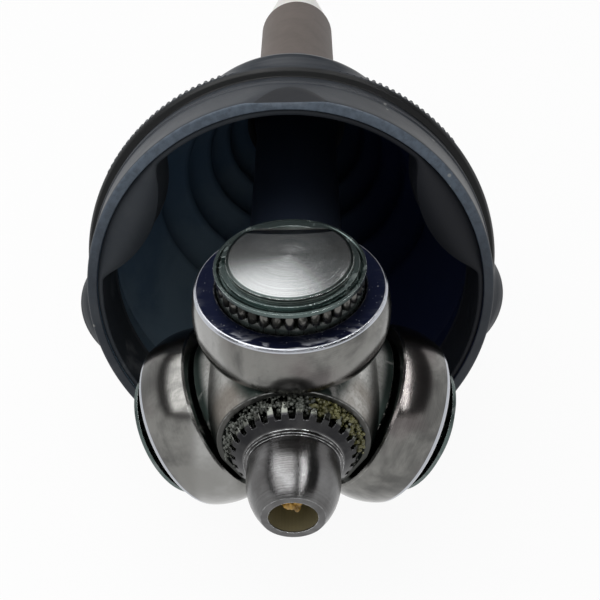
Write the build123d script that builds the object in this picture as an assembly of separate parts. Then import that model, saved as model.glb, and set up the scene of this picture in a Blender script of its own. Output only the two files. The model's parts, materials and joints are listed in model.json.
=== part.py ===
from build123d import *
import os
from math import atan2, cos, degrees, radians, sin, sqrt

# Inner tripod joint of a front half shaft, as it looks with its housing pulled off:
# shaft nose, splined spider, three rollers on needles, and the open mouth of the boot.
# The origin is the joint centre, where the three trunnion axes meet the shaft axis.
# +Y runs along the shaft away from the nose, +Z along trunnion 1, +X to the right.
# Lengths are in millimetres and angles in degrees.
# "Station" means a distance along the shaft, "height" a distance along a trunnion.

# Trunnions, seen from the nose and counted anticlockwise from +X
trunnion_angles = [90, 210, 330]
trunnion_d = 22.2
trunnion_end_land = 0.75        # from the clip groove to the edge of the domed end
trunnion_dome_rise = 0.7
trunnion_bevel_station = 6.1    # where the far side of the dome is cut back
trunnion_bevel_angle = 20
shoulder_d = 29.0
shoulder_height = 13.55

# Needles
needle_d = 2.0
needle_count = 36
needle_length = 14.2
needle_end_chamfer = 0.35
needle_clearance = 0.02         # between a needle and the trunnion, and roller and needle
needle_end_clearance = 0.1

# Rollers
roller_crown_d = 36.0
roller_edge_d = 34.3
roller_width = 10.44
roller_inner_height = 13.9
roller_slides = [0.0, 0.3, 0.4]   # how far each has slid out along its needles
roller_corner = 0.38
roller_bore_chamfer = 0.45

# Needle retainers and the circlips that hold them on the trunnions
retainer_d = 26.6
retainer_web = 0.4
retainer_rim = 0.75
retainer_rim_width = 0.5
retainer_clearance = 0.05
trunnion_clip_thickness = 0.9
trunnion_clip_d = 24.2
trunnion_groove_depth = 0.8
trunnion_clip_gap = 3.0

# Shaft: bar, boot seat, neck, splines and nose
bar_d = 23.0
bar_end_station = 158.0
boot_seat_d = 23.6
boot_seat_margin = 1.5          # boot seat in front of the cuff and behind it
neck_d = 21.6
neck_round = 2.0
spline_count = 28
spline_turn = 0.5               # in pitches: a gap, not a tooth, lies at the top
spline_d = 24.14
spline_foot_d = 22.2            # where the cone meets the teeth
spline_root_d = 20.8
spline_top_share = 0.36         # width of a tooth at its top, as a share of the pitch
spline_foot_share = 0.58        # and at its root
spline_front_station = -16.9
spline_back_station = 19.0
spline_back_chamfer = 1.0
spline_chamfer_station = -18.9
spline_clearance = 0.04
spline_clearance_share = 0.01   # side clearance of the hub's teeth, as a share of the pitch
cone_front_station = -20.3
nose_base_d = 16.6
nose_ring_d = 17.8
nose_ring_width = 0.7
nose_bend_station = -24.0
nose_middle_d = 14.5
nose_middle_station = -29.3
nose_tip_d = 11.0
nose_tip_station = -32.0
centre_hole_d = 8.48
centre_hole_depth = 6.0
centre_drill_d = 3.2
centre_drill_depth = 5.0
spigot_d = 12.0
spigot_length = 12.0

# Spider hub
hub_front_station = -16.1
hub_back_station = 15.0
hub_front_d = 27.8
hub_edge_d = 29.7
hub_edge_station = -13.8
hub_waist_d = 34.4
hub_waist_station = -3.0
hub_back_d = 29.0
counterbore_d = 25.82
counterbore_depth = 4.4

# Rings on the shaft, in front of the spider and behind it
shaft_clip_thickness = 1.6
shaft_clip_d = 24.9
shaft_groove_depth = 0.9        # below the foot of the cone, under the roots of the splines
shaft_clip_gap = 5.0
stop_ring_d = 27.0
clip_clearance = 0.05

# Boot: the tilted mouth collar
collar_front_station = 19.6     # centre of the front face
collar_front_height = 3.0
collar_front_shift = -0.85      # to the right
collar_tilt = 15.2
collar_bore_d = 80.8
collar_lip_wall = 2.1
collar_lip_chamfer = 0.4
collar_lip_length = 9.9         # up to the round seat of the clamp band
collar_step_length = 0.2        # small steps in front of the seat and behind it
collar_seat_foot_wall = 2.95
collar_seat_wall = 3.3
collar_seat_length = 4.2
collar_ridge_foot_wall = 4.6
collar_ridge_bevel_length = 1.1
collar_ridge_wall = 5.3
collar_ridge_back_wall = 4.7
collar_ridge_length = 3.9
collar_end_length = 4.5         # from the ridge down to the bellows
collar_end_wall = 2.2
collar_end_bore_d = 82.8
lip_flat_depth = 0.8            # shallow flat on the lip over the top lobe
lip_flat_length = 7.0

# Swellings of the collar over its ridge, where the housing's lobes would lie
swelling_angles = [88, 197, 345]
swelling_walls = [7.1, 10.8, 9.6]   # from the bore to the highest point
swelling_radii = [26.0, 16.0, 16.0]
swelling_lead = 0.2             # how far one begins in front of the ridge
swelling_tail = 1.2             # how far it ends before the bellows
swelling_crest_length = 1.0
swelling_edge_drop = 1.6        # how far its edges slope down

# Three-lobed insert inside the collar
insert_recess = 0.6
insert_length = 13.4
insert_clearance = 0.05
insert_wall = 1.05              # between the pads
insert_pad_angles = [29, 151, 270]
insert_pad_depth = 8.1          # from the collar's bore to the top of a pad
insert_pad_radius = 21.0
insert_pad_blend = 7.0

# Bellows and the small end on the bar: (station, diameter) of each valley and fold
bellows_valleys = [(60.0, 70.0), (71.0, 62.0), (81.0, 52.0), (90.0, 41.0), (98.0, 30.5)]
bellows_folds = [(65.5, 74.0), (76.0, 65.0), (85.5, 54.5), (94.0, 43.5)]
bellows_wall = 1.7
cuff_station = 101.0
cuff_length = 14.0
cuff_wall = 2.4
cuff_groove_depth = 0.5
cuff_groove_inset = 3.0
clamp_band_width = 7.0
clamp_band_thickness = 0.8
clamp_ear_height = 3.2
clamp_ear_width = 5.0
clamp_ear_round = 1.2
clamp_ear_overlap = 0.3         # how far the ear reaches into the band

# White cap on the far end
cap_length = 41.0
cap_base_d = 22.8
cap_tip_d = 6.0
cap_tip_round = 2.0
cap_clearance = 0.1

# How far cutting shapes reach past what they cut
cut_margin = 1.0

# Sizes that follow from the ones above
trunnion_r = trunnion_d / 2
needle_r = needle_d / 2
needle_pitch_r = trunnion_r + needle_clearance + needle_r
roller_bore_r = needle_pitch_r + needle_r + needle_clearance
needle_start = shoulder_height + needle_end_clearance
retainer_height = needle_start + needle_length + needle_end_clearance
clip_height = retainer_height + retainer_web + clip_clearance
clip_groove_top = clip_height + trunnion_clip_thickness + clip_clearance
trunnion_rim_height = clip_groove_top + trunnion_end_land
bar_r = bar_d / 2
boot_seat_r = boot_seat_d / 2
cuff_r = boot_seat_r + cuff_wall
cuff_end_station = cuff_station + cuff_length
spline_r = spline_d / 2
spline_foot_r = spline_foot_d / 2
spline_root_r = spline_root_d / 2
shaft_groove_r = spline_foot_r - shaft_groove_depth
collar_bore_r = collar_bore_d / 2
collar_seat_r = collar_bore_r + collar_seat_wall
collar_seat_end = collar_lip_length + collar_step_length + collar_seat_length
collar_ridge_start = collar_seat_end + collar_step_length + collar_ridge_bevel_length
collar_ridge_end = collar_ridge_start + collar_ridge_length
collar_length = collar_ridge_end + collar_end_length
collar_end_bore_r = collar_end_bore_d / 2
collar_end_r = collar_end_bore_r + collar_end_wall
swelling_start = collar_ridge_start - swelling_lead
swelling_end = collar_length - swelling_tail
clip_front_station = hub_front_station + counterbore_depth - shaft_clip_thickness - clip_clearance


def face_of(points):
    """Closed flat outline through (radius, station) points."""
    return make_face(Polyline(*points, close=True))


def turned(points):
    """Solid of revolution about the shaft axis from (radius, station) points."""
    return revolve(face_of(points), Axis.Y)


def turned_up(face):
    """Solid of revolution about +Z from a flat outline of (radius, height)."""
    return revolve(Plane.XZ * face, Axis.Z)


def slab(sketch, start, length):
    """Prism along the shaft from an outline seen from the nose."""
    return extrude(Plane.XZ.offset(-start) * sketch, -length)


def disc(diameter, start, length):
    """Round prism about the shaft axis."""
    return slab(Circle(diameter / 2), start, length)


def on_trunnion(shape, angle):
    """Turn a shape built along +Z to the trunnion at this angle."""
    return shape.rotate(Axis.Y, 90 - angle)


def in_collar(shape):
    """Move a shape built along the shaft to the tilted collar."""
    front = Pos(collar_front_shift, collar_front_station, collar_front_height)
    return front * Rot(X=-collar_tilt) * shape


def save(shape, name):
    """Write one sub-part."""
    export_step(shape, os.path.join("parts", name + ".step"))


def spline_outline(clearance, share_clearance):
    """Toothed outline: straight-sided teeth on a root circle, all moved out by a clearance."""
    pitch = 360 / spline_count
    root_r = spline_root_r + clearance
    top_r = spline_r + clearance
    foot_share = spline_foot_share + share_clearance
    top_share = spline_top_share + share_clearance
    points = []
    for tooth in range(spline_count):
        for radius, share in ((root_r, -foot_share), (top_r, -top_share),
                              (top_r, top_share), (root_r, foot_share)):
            angle = radians((tooth + spline_turn + share / 2) * pitch)
            points.append((radius * cos(angle), radius * sin(angle)))
    return make_face(Polyline(*points, close=True))


def nose():
    """Turned nose with its small ring."""
    ring_r = nose_ring_d / 2
    ring_front = cone_front_station - nose_ring_width
    start = (nose_tip_d / 2, nose_tip_station)
    bend = (nose_base_d / 2, nose_bend_station)
    middle = (nose_middle_d / 2, nose_middle_station)
    sides = [
        Polyline((0, nose_tip_station), start),
        ThreePointArc(start, middle, bend),
        Polyline(bend, (nose_base_d / 2, ring_front), (ring_r, ring_front),
                 (ring_r, cone_front_station), (0, cone_front_station), (0, nose_tip_station)),
    ]
    return revolve(make_face(Curve() + sides), Axis.Y)


def spline_zone():
    """Cone behind the nose and the splines, whose gaps run out on the cone."""
    teeth = slab(spline_outline(0, 0), cone_front_station, spline_back_station - cone_front_station)
    envelope = turned([(0, cone_front_station), (nose_ring_d / 2, cone_front_station),
                       (spline_foot_r, spline_chamfer_station), (spline_r, spline_front_station),
                       (spline_r, spline_back_station - spline_back_chamfer),
                       (spline_r - spline_back_chamfer, spline_back_station),
                       (0, spline_back_station)])
    return teeth & envelope


def bar():
    """Neck behind the splines, raised seat of the boot, and the plain bar."""
    neck_r = neck_d / 2
    seat_start = cuff_station - boot_seat_margin
    seat_end = cuff_end_station + boot_seat_margin
    return turned([(0, spline_back_station), (neck_r, spline_back_station),
                   (neck_r, seat_start - neck_round), (boot_seat_r, seat_start),
                   (boot_seat_r, seat_end), (bar_r, seat_end), (bar_r, bar_end_station),
                   (0, bar_end_station)])


def centre_hole():
    """Lathe centre in the nose: a round recess with a drilled bottom."""
    bottom = nose_tip_station + centre_hole_depth
    slope = (centre_hole_d - centre_drill_d) / 2
    return turned([(0, nose_tip_station), (centre_hole_d / 2, nose_tip_station),
                   (centre_hole_d / 2, bottom), (centre_drill_d / 2, bottom + slope),
                   (centre_drill_d / 2, bottom + slope + centre_drill_depth),
                   (0, bottom + slope + centre_drill_depth + centre_drill_d / 2)])


def ring(outer_r, inner_r, start, length):
    """Plain ring about the shaft axis."""
    return disc(2 * outer_r, start, length) - disc(2 * inner_r, start, length)


def axle_shaft():
    """Nose, splines, ring grooves, bar with the boot seat, and the spigot under the cap."""
    spigot = disc(spigot_d, bar_end_station, spigot_length)
    shaft = nose() + spline_zone() + bar() + spigot
    wide = spline_r + cut_margin
    front_groove = ring(wide, shaft_groove_r, clip_front_station,
                        shaft_clip_thickness + clip_clearance)
    back_groove = ring(wide, shaft_groove_r, hub_back_station,
                       shaft_clip_thickness + clip_clearance)
    boot_groove = ring(wide, boot_seat_r - cuff_groove_depth, cuff_station + cuff_groove_inset,
                       cuff_length - 2 * cuff_groove_inset)
    return shaft - centre_hole() - front_groove - back_groove - boot_groove


def trunnion():
    """One trunnion with its domed end, its clip groove and the bevel on the far side."""
    top = trunnion_rim_height + trunnion_dome_rise
    rim = (trunnion_r, trunnion_rim_height)
    across = trunnion_r / 2
    dome_r = (trunnion_r ** 2 + trunnion_dome_rise ** 2) / (2 * trunnion_dome_rise)
    middle = (across, top - dome_r + sqrt(dome_r ** 2 - across ** 2))
    sides = [Polyline((0, top), (0, 0), (trunnion_r, 0), rim),
             ThreePointArc(rim, middle, (0, top))]
    post = turned_up(make_face(Curve() + sides))
    groove_r = trunnion_r - trunnion_groove_depth
    outside_r = trunnion_r + cut_margin
    groove_bottom = clip_height - clip_clearance
    groove = turned_up(face_of([(groove_r, groove_bottom), (outside_r, groove_bottom),
                                (outside_r, clip_groove_top), (groove_r, clip_groove_top)]))
    dome_drop = dome_r - sqrt(dome_r ** 2 - trunnion_bevel_station ** 2)
    bevel = Pos(0, trunnion_bevel_station, top - dome_drop) * Rot(X=-trunnion_bevel_angle) * Box(
        4 * trunnion_r, 2 * trunnion_r, 2 * trunnion_r, align=(Align.CENTER, Align.MIN, Align.MIN))
    return post - groove - bevel


def shoulder():
    """Thick root of a trunnion, up to the face that the needles end on."""
    return turned_up(face_of([(0, 0), (shoulder_d / 2, 0), (shoulder_d / 2, shoulder_height),
                              (0, shoulder_height)]))


def hub():
    """Barrel-shaped hub about the shaft axis."""
    edge = (hub_edge_d / 2, hub_edge_station)
    waist = (hub_waist_d / 2, hub_waist_station)
    back = (hub_back_d / 2, hub_back_station)
    sides = [Polyline((0, hub_front_station), (hub_front_d / 2, hub_front_station), edge),
             ThreePointArc(edge, waist, back),
             Polyline(back, (0, hub_back_station), (0, hub_front_station))]
    return revolve(make_face(Curve() + sides), Axis.Y)


def spider():
    """Splined hub with its three trunnions in one forging."""
    body = hub()
    for angle in trunnion_angles:
        body += on_trunnion(shoulder(), angle)
    cut_r = roller_crown_d / 2 + cut_margin
    face_cut = turned_up(face_of([(0, shoulder_height), (cut_r, shoulder_height),
                                  (cut_r, trunnion_rim_height), (0, trunnion_rim_height)]))
    for angle in trunnion_angles:
        body -= on_trunnion(face_cut, angle)
    for angle in trunnion_angles:
        body += on_trunnion(trunnion(), angle)
    bore = slab(spline_outline(spline_clearance, spline_clearance_share), hub_front_station,
                hub_back_station - hub_front_station)
    return body - bore - disc(counterbore_d, hub_front_station, counterbore_depth)


def split_ring(outer_r, inner_r, start, length, gap, gap_angle):
    """Open ring about the shaft axis with a parallel gap at an angle."""
    gap_cut = Rot(Z=gap_angle) * (Pos(outer_r, 0) * Rectangle(2 * outer_r, gap))
    return slab(Circle(outer_r) - Circle(inner_r) - gap_cut, start, length)


def shaft_circlip():
    """Snap ring in the counterbore that keeps the spider on the shaft."""
    return split_ring(shaft_clip_d / 2, shaft_groove_r + clip_clearance, clip_front_station,
                      shaft_clip_thickness, shaft_clip_gap, 270)


def rear_stop_ring():
    """Snap ring that the back of the spider rests on."""
    return split_ring(stop_ring_d / 2, shaft_groove_r + clip_clearance,
                      hub_back_station, shaft_clip_thickness, shaft_clip_gap, 90)


def needle_retainer():
    """Dished washer over the needle ends, built along +Z."""
    inner = trunnion_r + retainer_clearance
    outer = retainer_d / 2
    bottom = retainer_height
    return turned_up(face_of([
        (inner, bottom), (outer, bottom), (outer, bottom + retainer_rim),
        (outer - retainer_rim_width, bottom + retainer_rim),
        (outer - 2 * retainer_rim_width, bottom + retainer_web), (inner, bottom + retainer_web)]))


def trunnion_circlip():
    """Snap ring on top of the retainer, built along +Z."""
    outline = Circle(trunnion_clip_d / 2) - Circle(trunnion_r - trunnion_groove_depth + clip_clearance)
    outline -= Pos(-trunnion_r, 0) * Rectangle(2 * trunnion_groove_depth + trunnion_d / 2,
                                               trunnion_clip_gap)
    return extrude(Plane.XY.offset(clip_height) * outline, trunnion_clip_thickness)


def needle_set():
    """All needles of one trunnion, built along +Z."""
    end_r = needle_r - needle_end_chamfer
    top = needle_length - needle_end_chamfer
    needle = turned_up(face_of([(0, 0), (needle_r, 0), (needle_r, top), (end_r, needle_length),
                                (0, needle_length)]))
    step = 360 / needle_count
    needles = [Rot(Z=step * n) * Pos(needle_pitch_r, 0, needle_start) * needle
               for n in range(needle_count)]
    return Compound(children=needles)


def roller():
    """Crowned roller with a plain bore, built along +Z."""
    low = roller_inner_height
    high = low + roller_width
    edge = roller_edge_d / 2
    bore = roller_bore_r
    lower = (edge, low + roller_corner)
    upper = (edge, high - roller_corner)
    crown = (roller_crown_d / 2, (low + high) / 2)
    chamfered = bore + roller_bore_chamfer
    sides = [
        Polyline(upper, (edge - roller_corner, high), (chamfered, high),
                 (bore, high - roller_bore_chamfer), (bore, low + roller_bore_chamfer),
                 (chamfered, low), (edge - roller_corner, low), lower),
        ThreePointArc(lower, crown, upper),
    ]
    return turned_up(make_face(Curve() + sides))


def collar_skin():
    """Outside of the collar: lip, clamp seat, ridge and the run to the bellows."""
    lip_r = collar_bore_r + collar_lip_wall
    return turned([
        (0, 0), (lip_r - collar_lip_chamfer, 0), (lip_r, collar_lip_chamfer),
        (collar_bore_r + collar_seat_foot_wall, collar_lip_length),
        (collar_seat_r, collar_lip_length + collar_step_length),
        (collar_seat_r, collar_seat_end),
        (collar_bore_r + collar_ridge_foot_wall, collar_seat_end + collar_step_length),
        (collar_bore_r + collar_ridge_wall, collar_ridge_start),
        (collar_bore_r + collar_ridge_back_wall, collar_ridge_end),
        (collar_end_r, collar_length), (0, collar_length)])


def swelling(angle, wall, radius):
    """One low swelling with sloping edges, as a round plate off the collar's axis."""
    off_axis = collar_bore_r + wall - radius
    edge_run = (swelling_end - swelling_start - swelling_crest_length) / 2
    inner_r = radius - swelling_edge_drop
    plate = turned([(0, swelling_start), (inner_r, swelling_start),
                    (radius, swelling_start + edge_run), (radius, swelling_end - edge_run),
                    (inner_r, swelling_end), (0, swelling_end)])
    return Pos(off_axis * cos(radians(angle)), 0, off_axis * sin(radians(angle))) * plate


def lip_flat():
    """Wedge that leaves a shallow sloping flat on the lip at the top."""
    lip_r = collar_bore_r + collar_lip_wall
    slope = degrees(atan2(lip_flat_depth + collar_seat_foot_wall - collar_lip_wall,
                          lip_flat_length))
    wedge = Box(2 * lip_r, 2 * lip_flat_length, lip_flat_length,
                align=(Align.CENTER, Align.CENTER, Align.MIN))
    return Pos(0, 0, lip_r - lip_flat_depth) * Rot(X=slope) * wedge


def boot_collar():
    """Mouth of the boot, open from front to back, tilted as it hangs."""
    bore = turned([
        (0, 0), (collar_bore_r, 0), (collar_bore_r, collar_seat_end),
        (collar_end_bore_r, collar_ridge_start + collar_end_wall),
        (collar_end_bore_r, collar_length), (0, collar_length)])
    collar = collar_skin()
    for angle, wall, radius in zip(swelling_angles, swelling_walls, swelling_radii):
        collar += swelling(angle, wall, radius)
    return in_collar(collar - lip_flat() - bore)


def lobe_insert():
    """Ring with three thick pads that fill the hollows of the housing."""
    outer_r = collar_bore_r - insert_clearance
    hole = Circle(outer_r - insert_wall)
    pad_centre = collar_bore_r - insert_pad_depth + insert_pad_radius
    for angle in insert_pad_angles:
        hole -= Pos(pad_centre * cos(radians(angle)),
                    pad_centre * sin(radians(angle))) * Circle(insert_pad_radius)
    hole = fillet(hole.vertices(), insert_pad_blend)
    return in_collar(slab(Circle(outer_r) - hole, insert_recess, insert_length))


def fold_arcs(inset):
    """Edges of the folds as (radius, station) arcs, moved in by a wall."""
    valleys = [(diameter / 2 - inset, station) for station, diameter in bellows_valleys]
    folds = [(diameter / 2 - inset, station) for station, diameter in bellows_folds]
    return [ThreePointArc(start, top, end)
            for start, top, end in zip(valleys, folds, valleys[1:])]


def folds():
    """Turned folds of the bellows, down to the cuff."""
    first_station, first_d = bellows_valleys[0]
    last_station, last_d = bellows_valleys[-1]
    first_r = first_d / 2
    last_r = last_d / 2
    outside = fold_arcs(0)
    inside = fold_arcs(bellows_wall)
    ends = [
        Polyline((first_r, first_station), (first_r - bellows_wall, first_station)),
        Polyline((last_r, last_station), (cuff_r, cuff_station), (boot_seat_r, cuff_station),
                 (last_r - bellows_wall, last_station)),
    ]
    return revolve(make_face(outside + inside + ends), Axis.Y)


def mouth_sleeve(front_radius, inset):
    """Solid between the tilted end of the collar and the first valley of the bellows."""
    station, diameter = bellows_valleys[0]
    front = in_collar(Plane.XZ.offset(-collar_length) * Circle(front_radius))
    back = Plane.XZ.offset(-station) * Circle(diameter / 2 - inset)
    return loft([front, back], ruled=True)


def boot_bellows():
    """Folded part of the boot and the cuff that grips the bar."""
    cuff = ring(cuff_r, boot_seat_r, cuff_station, cuff_length)
    bead = ring(boot_seat_r, boot_seat_r - cuff_groove_depth, cuff_station + cuff_groove_inset,
                cuff_length - 2 * cuff_groove_inset)
    sleeve = mouth_sleeve(collar_end_r, 0) - mouth_sleeve(collar_end_bore_r, bellows_wall)
    return sleeve + folds() + cuff + bead


def small_end_clamp():
    """Crimped band around the cuff, with its ear underneath."""
    start = cuff_station + (cuff_length - clamp_band_width) / 2
    outer_r = cuff_r + clamp_band_thickness
    band = ring(outer_r, cuff_r, start, clamp_band_width)
    ear = slab(Pos(0, -(outer_r + clamp_ear_height / 2 - clamp_ear_overlap))
               * RectangleRounded(clamp_ear_width, clamp_ear_height + 2 * clamp_ear_overlap,
                                  clamp_ear_round),
               start, clamp_band_width)
    slot = slab(Pos(0, -(outer_r + clamp_ear_height / 2))
                * RectangleRounded(clamp_ear_width - 2 * clamp_band_thickness,
                                   clamp_ear_height - clamp_band_thickness,
                                   clamp_ear_round / 2),
                start, clamp_band_width)
    return band + ear - slot


def end_cap():
    """Tapered cap pushed over the spigot at the far end of the bar."""
    far = bar_end_station + cap_length
    cone = turned([
        (0, bar_end_station), (cap_base_d / 2, bar_end_station),
        (cap_tip_d / 2 + cap_tip_round / 2, far - cap_tip_round), (cap_tip_d / 2, far), (0, far)])
    return cone - disc(spigot_d + 2 * cap_clearance, bar_end_station, spigot_length + cap_clearance)


os.makedirs("parts", exist_ok=True)
save(axle_shaft(), "axle_shaft")
save(spider(), "spider")
save(shaft_circlip(), "shaft_circlip")
save(rear_stop_ring(), "rear_stop_ring")
for number, (trunnion_angle, slide) in enumerate(zip(trunnion_angles, roller_slides), start=1):
    save(on_trunnion(needle_set(), trunnion_angle), f"needles_{number}")
    save(on_trunnion(Pos(0, 0, slide) * roller(), trunnion_angle), f"roller_{number}")
    save(on_trunnion(needle_retainer(), trunnion_angle), f"needle_retainer_{number}")
    save(on_trunnion(trunnion_circlip(), trunnion_angle), f"trunnion_circlip_{number}")
save(boot_collar(), "boot_collar")
save(lobe_insert(), "lobe_insert")
save(boot_bellows(), "boot_bellows")
save(small_end_clamp(), "small_end_clamp")
save(end_cap(), "end_cap")
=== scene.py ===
import json
import math
import bmesh
import bpy
from mathutils import Matrix, Vector


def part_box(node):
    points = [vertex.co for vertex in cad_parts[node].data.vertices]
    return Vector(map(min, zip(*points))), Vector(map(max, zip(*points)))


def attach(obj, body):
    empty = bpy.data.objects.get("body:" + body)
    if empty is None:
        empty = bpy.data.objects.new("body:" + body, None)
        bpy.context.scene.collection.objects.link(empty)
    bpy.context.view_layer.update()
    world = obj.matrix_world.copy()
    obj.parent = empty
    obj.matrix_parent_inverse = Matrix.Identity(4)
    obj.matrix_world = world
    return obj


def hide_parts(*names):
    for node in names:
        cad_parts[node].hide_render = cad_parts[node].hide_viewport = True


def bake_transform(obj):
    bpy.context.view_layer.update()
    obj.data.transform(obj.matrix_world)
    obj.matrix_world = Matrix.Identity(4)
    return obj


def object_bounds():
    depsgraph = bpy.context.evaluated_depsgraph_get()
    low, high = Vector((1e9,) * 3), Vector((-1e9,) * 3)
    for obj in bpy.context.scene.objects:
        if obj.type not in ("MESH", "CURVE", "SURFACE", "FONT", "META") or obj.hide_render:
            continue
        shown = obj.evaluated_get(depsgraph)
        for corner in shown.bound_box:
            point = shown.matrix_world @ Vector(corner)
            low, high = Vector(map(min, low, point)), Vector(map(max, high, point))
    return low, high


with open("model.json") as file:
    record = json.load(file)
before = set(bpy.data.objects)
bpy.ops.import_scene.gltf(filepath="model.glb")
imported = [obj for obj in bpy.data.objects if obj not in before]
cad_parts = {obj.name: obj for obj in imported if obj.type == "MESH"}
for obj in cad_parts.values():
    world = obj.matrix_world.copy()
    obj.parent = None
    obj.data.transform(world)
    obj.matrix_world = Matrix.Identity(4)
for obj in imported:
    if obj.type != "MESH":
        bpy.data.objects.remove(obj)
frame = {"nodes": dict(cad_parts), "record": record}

# The dressed inner tripod joint of a half shaft, housing off, as a Blender add-on.
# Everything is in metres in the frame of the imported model: origin at the joint centre,
# +Y along the shaft away from the nose, +Z along trunnion 1, +X to the right.
# In the boot's mouth, a station is a distance behind the front face of the collar, and an
# angle is seen from the nose, counted anticlockwise from +X.

bl_info = {
    "name": "Tripod joint",
    "version": (1, 0, 0),
    "blender": (4, 5, 0),
    "location": "View3D > Sidebar > Tripod joint",
    "description": "Dresses the tripod joint of a half shaft: steel, needles, grease and boot",
    "category": "Object",
}

MM = 0.001
CAD_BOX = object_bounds()
MOUNTS = {mount["name"]: mount for mount in frame["record"]["mounts"]}
MOUTH = Vector(MOUNTS["boot_mouth"]["pos_m"])
FORWARD = Vector(MOUNTS["boot_mouth"]["axis"]).normalized()
RIGHT = Vector((1, 0, 0))
UPWARD = FORWARD.cross(RIGHT).normalized()
SHAFT_UP = Vector((0, 0, 1))
TRUNNION_ANGLES = {1: 90.0, 2: 210.0, 3: 330.0}

# The camera that took the view: place, turn and lens, for a square image
CAMERA_PLACE = (0.0039769, -0.1175364, 0.1221344)
CAMERA_HEADING = -0.0204407
CAMERA_PITCH = 0.7132880
CAMERA_ROLL = -0.0300468
CAMERA_LENS = 52.0232
SENSOR_WIDTH = 36.0


def trunnion_axis(number):
    """Direction of a trunnion, from the joint centre outwards."""
    turn = math.radians(TRUNNION_ANGLES[number])
    return Vector((math.cos(turn), 0, math.sin(turn)))


def length(name, description, millimetres):
    """A property for one length, given in millimetres and kept in metres."""
    return bpy.props.FloatProperty(name=name, description=description, default=millimetres * MM,
                                   unit="LENGTH", subtype="DISTANCE", precision=5)


def angle(name, description, degrees):
    """A property for one angle, given in degrees."""
    return bpy.props.FloatProperty(name=name, description=description,
                                   default=math.radians(degrees), unit="ROTATION", subtype="ANGLE")


def colour(name, description, red, green, blue):
    """A property for one colour."""
    return bpy.props.FloatVectorProperty(name=name, description=description, subtype="COLOR",
                                         size=3, min=0, max=1, default=(red, green, blue))


class CollarSizes(bpy.types.PropertyGroup):
    """Sizes of the boot's mouth collar."""

    bore: length("Bore", "Diameter inside the collar", 80.8)
    lip: length("Lip", "Diameter of the lip at its front edge", 85.0)
    seat_station: length("Seat station", "Where the clamp seat begins", 9.9)
    seat_foot: length("Seat foot", "Diameter in front of the clamp seat", 86.7)
    seat: length("Seat", "Diameter of the clamp seat", 87.4)
    seat_end: length("Seat end", "Where the clamp seat ends at the ridge", 14.3)
    ridge_foot: length("Ridge foot", "Diameter at the top of the ridge's front wall", 90.0)
    ridge: length("Ridge", "Diameter of the ridge at its front", 91.4)
    ridge_back: length("Ridge back", "Diameter of the ridge at its back", 90.2)
    ridge_start: length("Ridge start", "Front edge of the ridge", 15.6)
    ridge_end: length("Ridge end", "Back edge of the ridge", 19.5)
    depth: length("Depth", "Length of the collar", 24.0)
    end: length("End", "Diameter where the bellows begin", 87.2)
    wall: length("Wall", "Thickness of the rubber at the back of the collar", 2.2)
    flat_depth: length("Flat depth", "How deep the flat on the lip is cut", 0.8)
    flat_length: length("Flat length", "Where the flat on the lip runs out", 7.0)
    steps: bpy.props.IntProperty(name="Steps", description="Faces around the collar", default=720)


class SwellingSizes(bpy.types.PropertyGroup):
    """Sizes of one of the swellings behind the ridge."""

    middle: angle("Middle", "Angle of the middle of the swelling", 90)
    reach: length("Reach", "Highest point above the collar's axis", 48)
    radius: length("Radius", "Roundness of the swelling seen from the nose", 20)


class SwellingRow(bpy.types.PropertyGroup):
    """The swellings behind the ridge, and where along the collar they lie."""

    start: length("Start", "Front end of the swellings", 15.4)
    top_start: length("Top start", "Where a swelling reaches its full height", 18.6)
    top_end: length("Top end", "Where it begins to fall", 19.6)
    end: length("End", "Back end of the swellings", 22.8)
    shapes: bpy.props.CollectionProperty(type=SwellingSizes)


class InsertSizes(bpy.types.PropertyGroup):
    """Sizes of the ring with three pads in the mouth."""

    recess: length("Recess", "How far the ring lies behind the lip", 0.6)
    depth: length("Depth", "Length of the ring", 13.4)
    lobe: length("Lobe", "Diameter between the pads", 78.6)
    pad_reach: length("Pad reach", "Distance from the axis to the top of a pad", 32.3)
    pad_radius: length("Pad radius", "Roundness of a pad", 21.0)
    pad_right: angle("Right pad", "Angle of the right pad", 29)
    pad_left: angle("Left pad", "Angle of the left pad", 151)
    pad_low: angle("Low pad", "Angle of the lower pad", 270)
    softness: length("Softness", "How far a pad flows into the ring", 2.2)
    edge: length("Edge", "Rounding of the front edge", 0.9)


class BellowsSizes(bpy.types.PropertyGroup):
    """Sizes of the folded part of the boot and its cuff."""

    wall: length("Wall", "Thickness of the rubber", 1.7)
    cuff_station: length("Cuff station", "Where the cuff begins", 101.0)
    cuff_length: length("Cuff length", "Length of the cuff on the bar", 14.0)
    cuff: length("Cuff", "Outside diameter of the cuff", 28.4)
    bar: length("Bar", "Diameter of the boot's seat on the bar", 23.6)
    steps: bpy.props.IntProperty(name="Steps", description="Faces around the bellows", default=180)


class NeedleSizes(bpy.types.PropertyGroup):
    """Sizes of one needle set."""

    count: bpy.props.IntProperty(name="Count", description="Needles around a trunnion", default=36)
    diameter: length("Diameter", "Diameter of one needle", 2.0)
    sides: bpy.props.IntProperty(name="Sides", description="Faces around a needle", default=14)


class RibSizes(bpy.types.PropertyGroup):
    """Sizes of the grip ribs on the ridge."""

    pitch: length("Pitch", "Distance between two ribs", 1.45)
    radius: length("Radius", "Roundness of a rib", 0.5)
    run: length("Run", "Length of a rib along the collar", 2.4)
    left_from: angle("Left start", "Where the left row begins", 104)
    left_to: angle("Left end", "Where the left row ends", 148)
    right_from: angle("Right start", "Where the right row begins", 40)
    right_to: angle("Right end", "Where the right row ends", 76)


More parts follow.
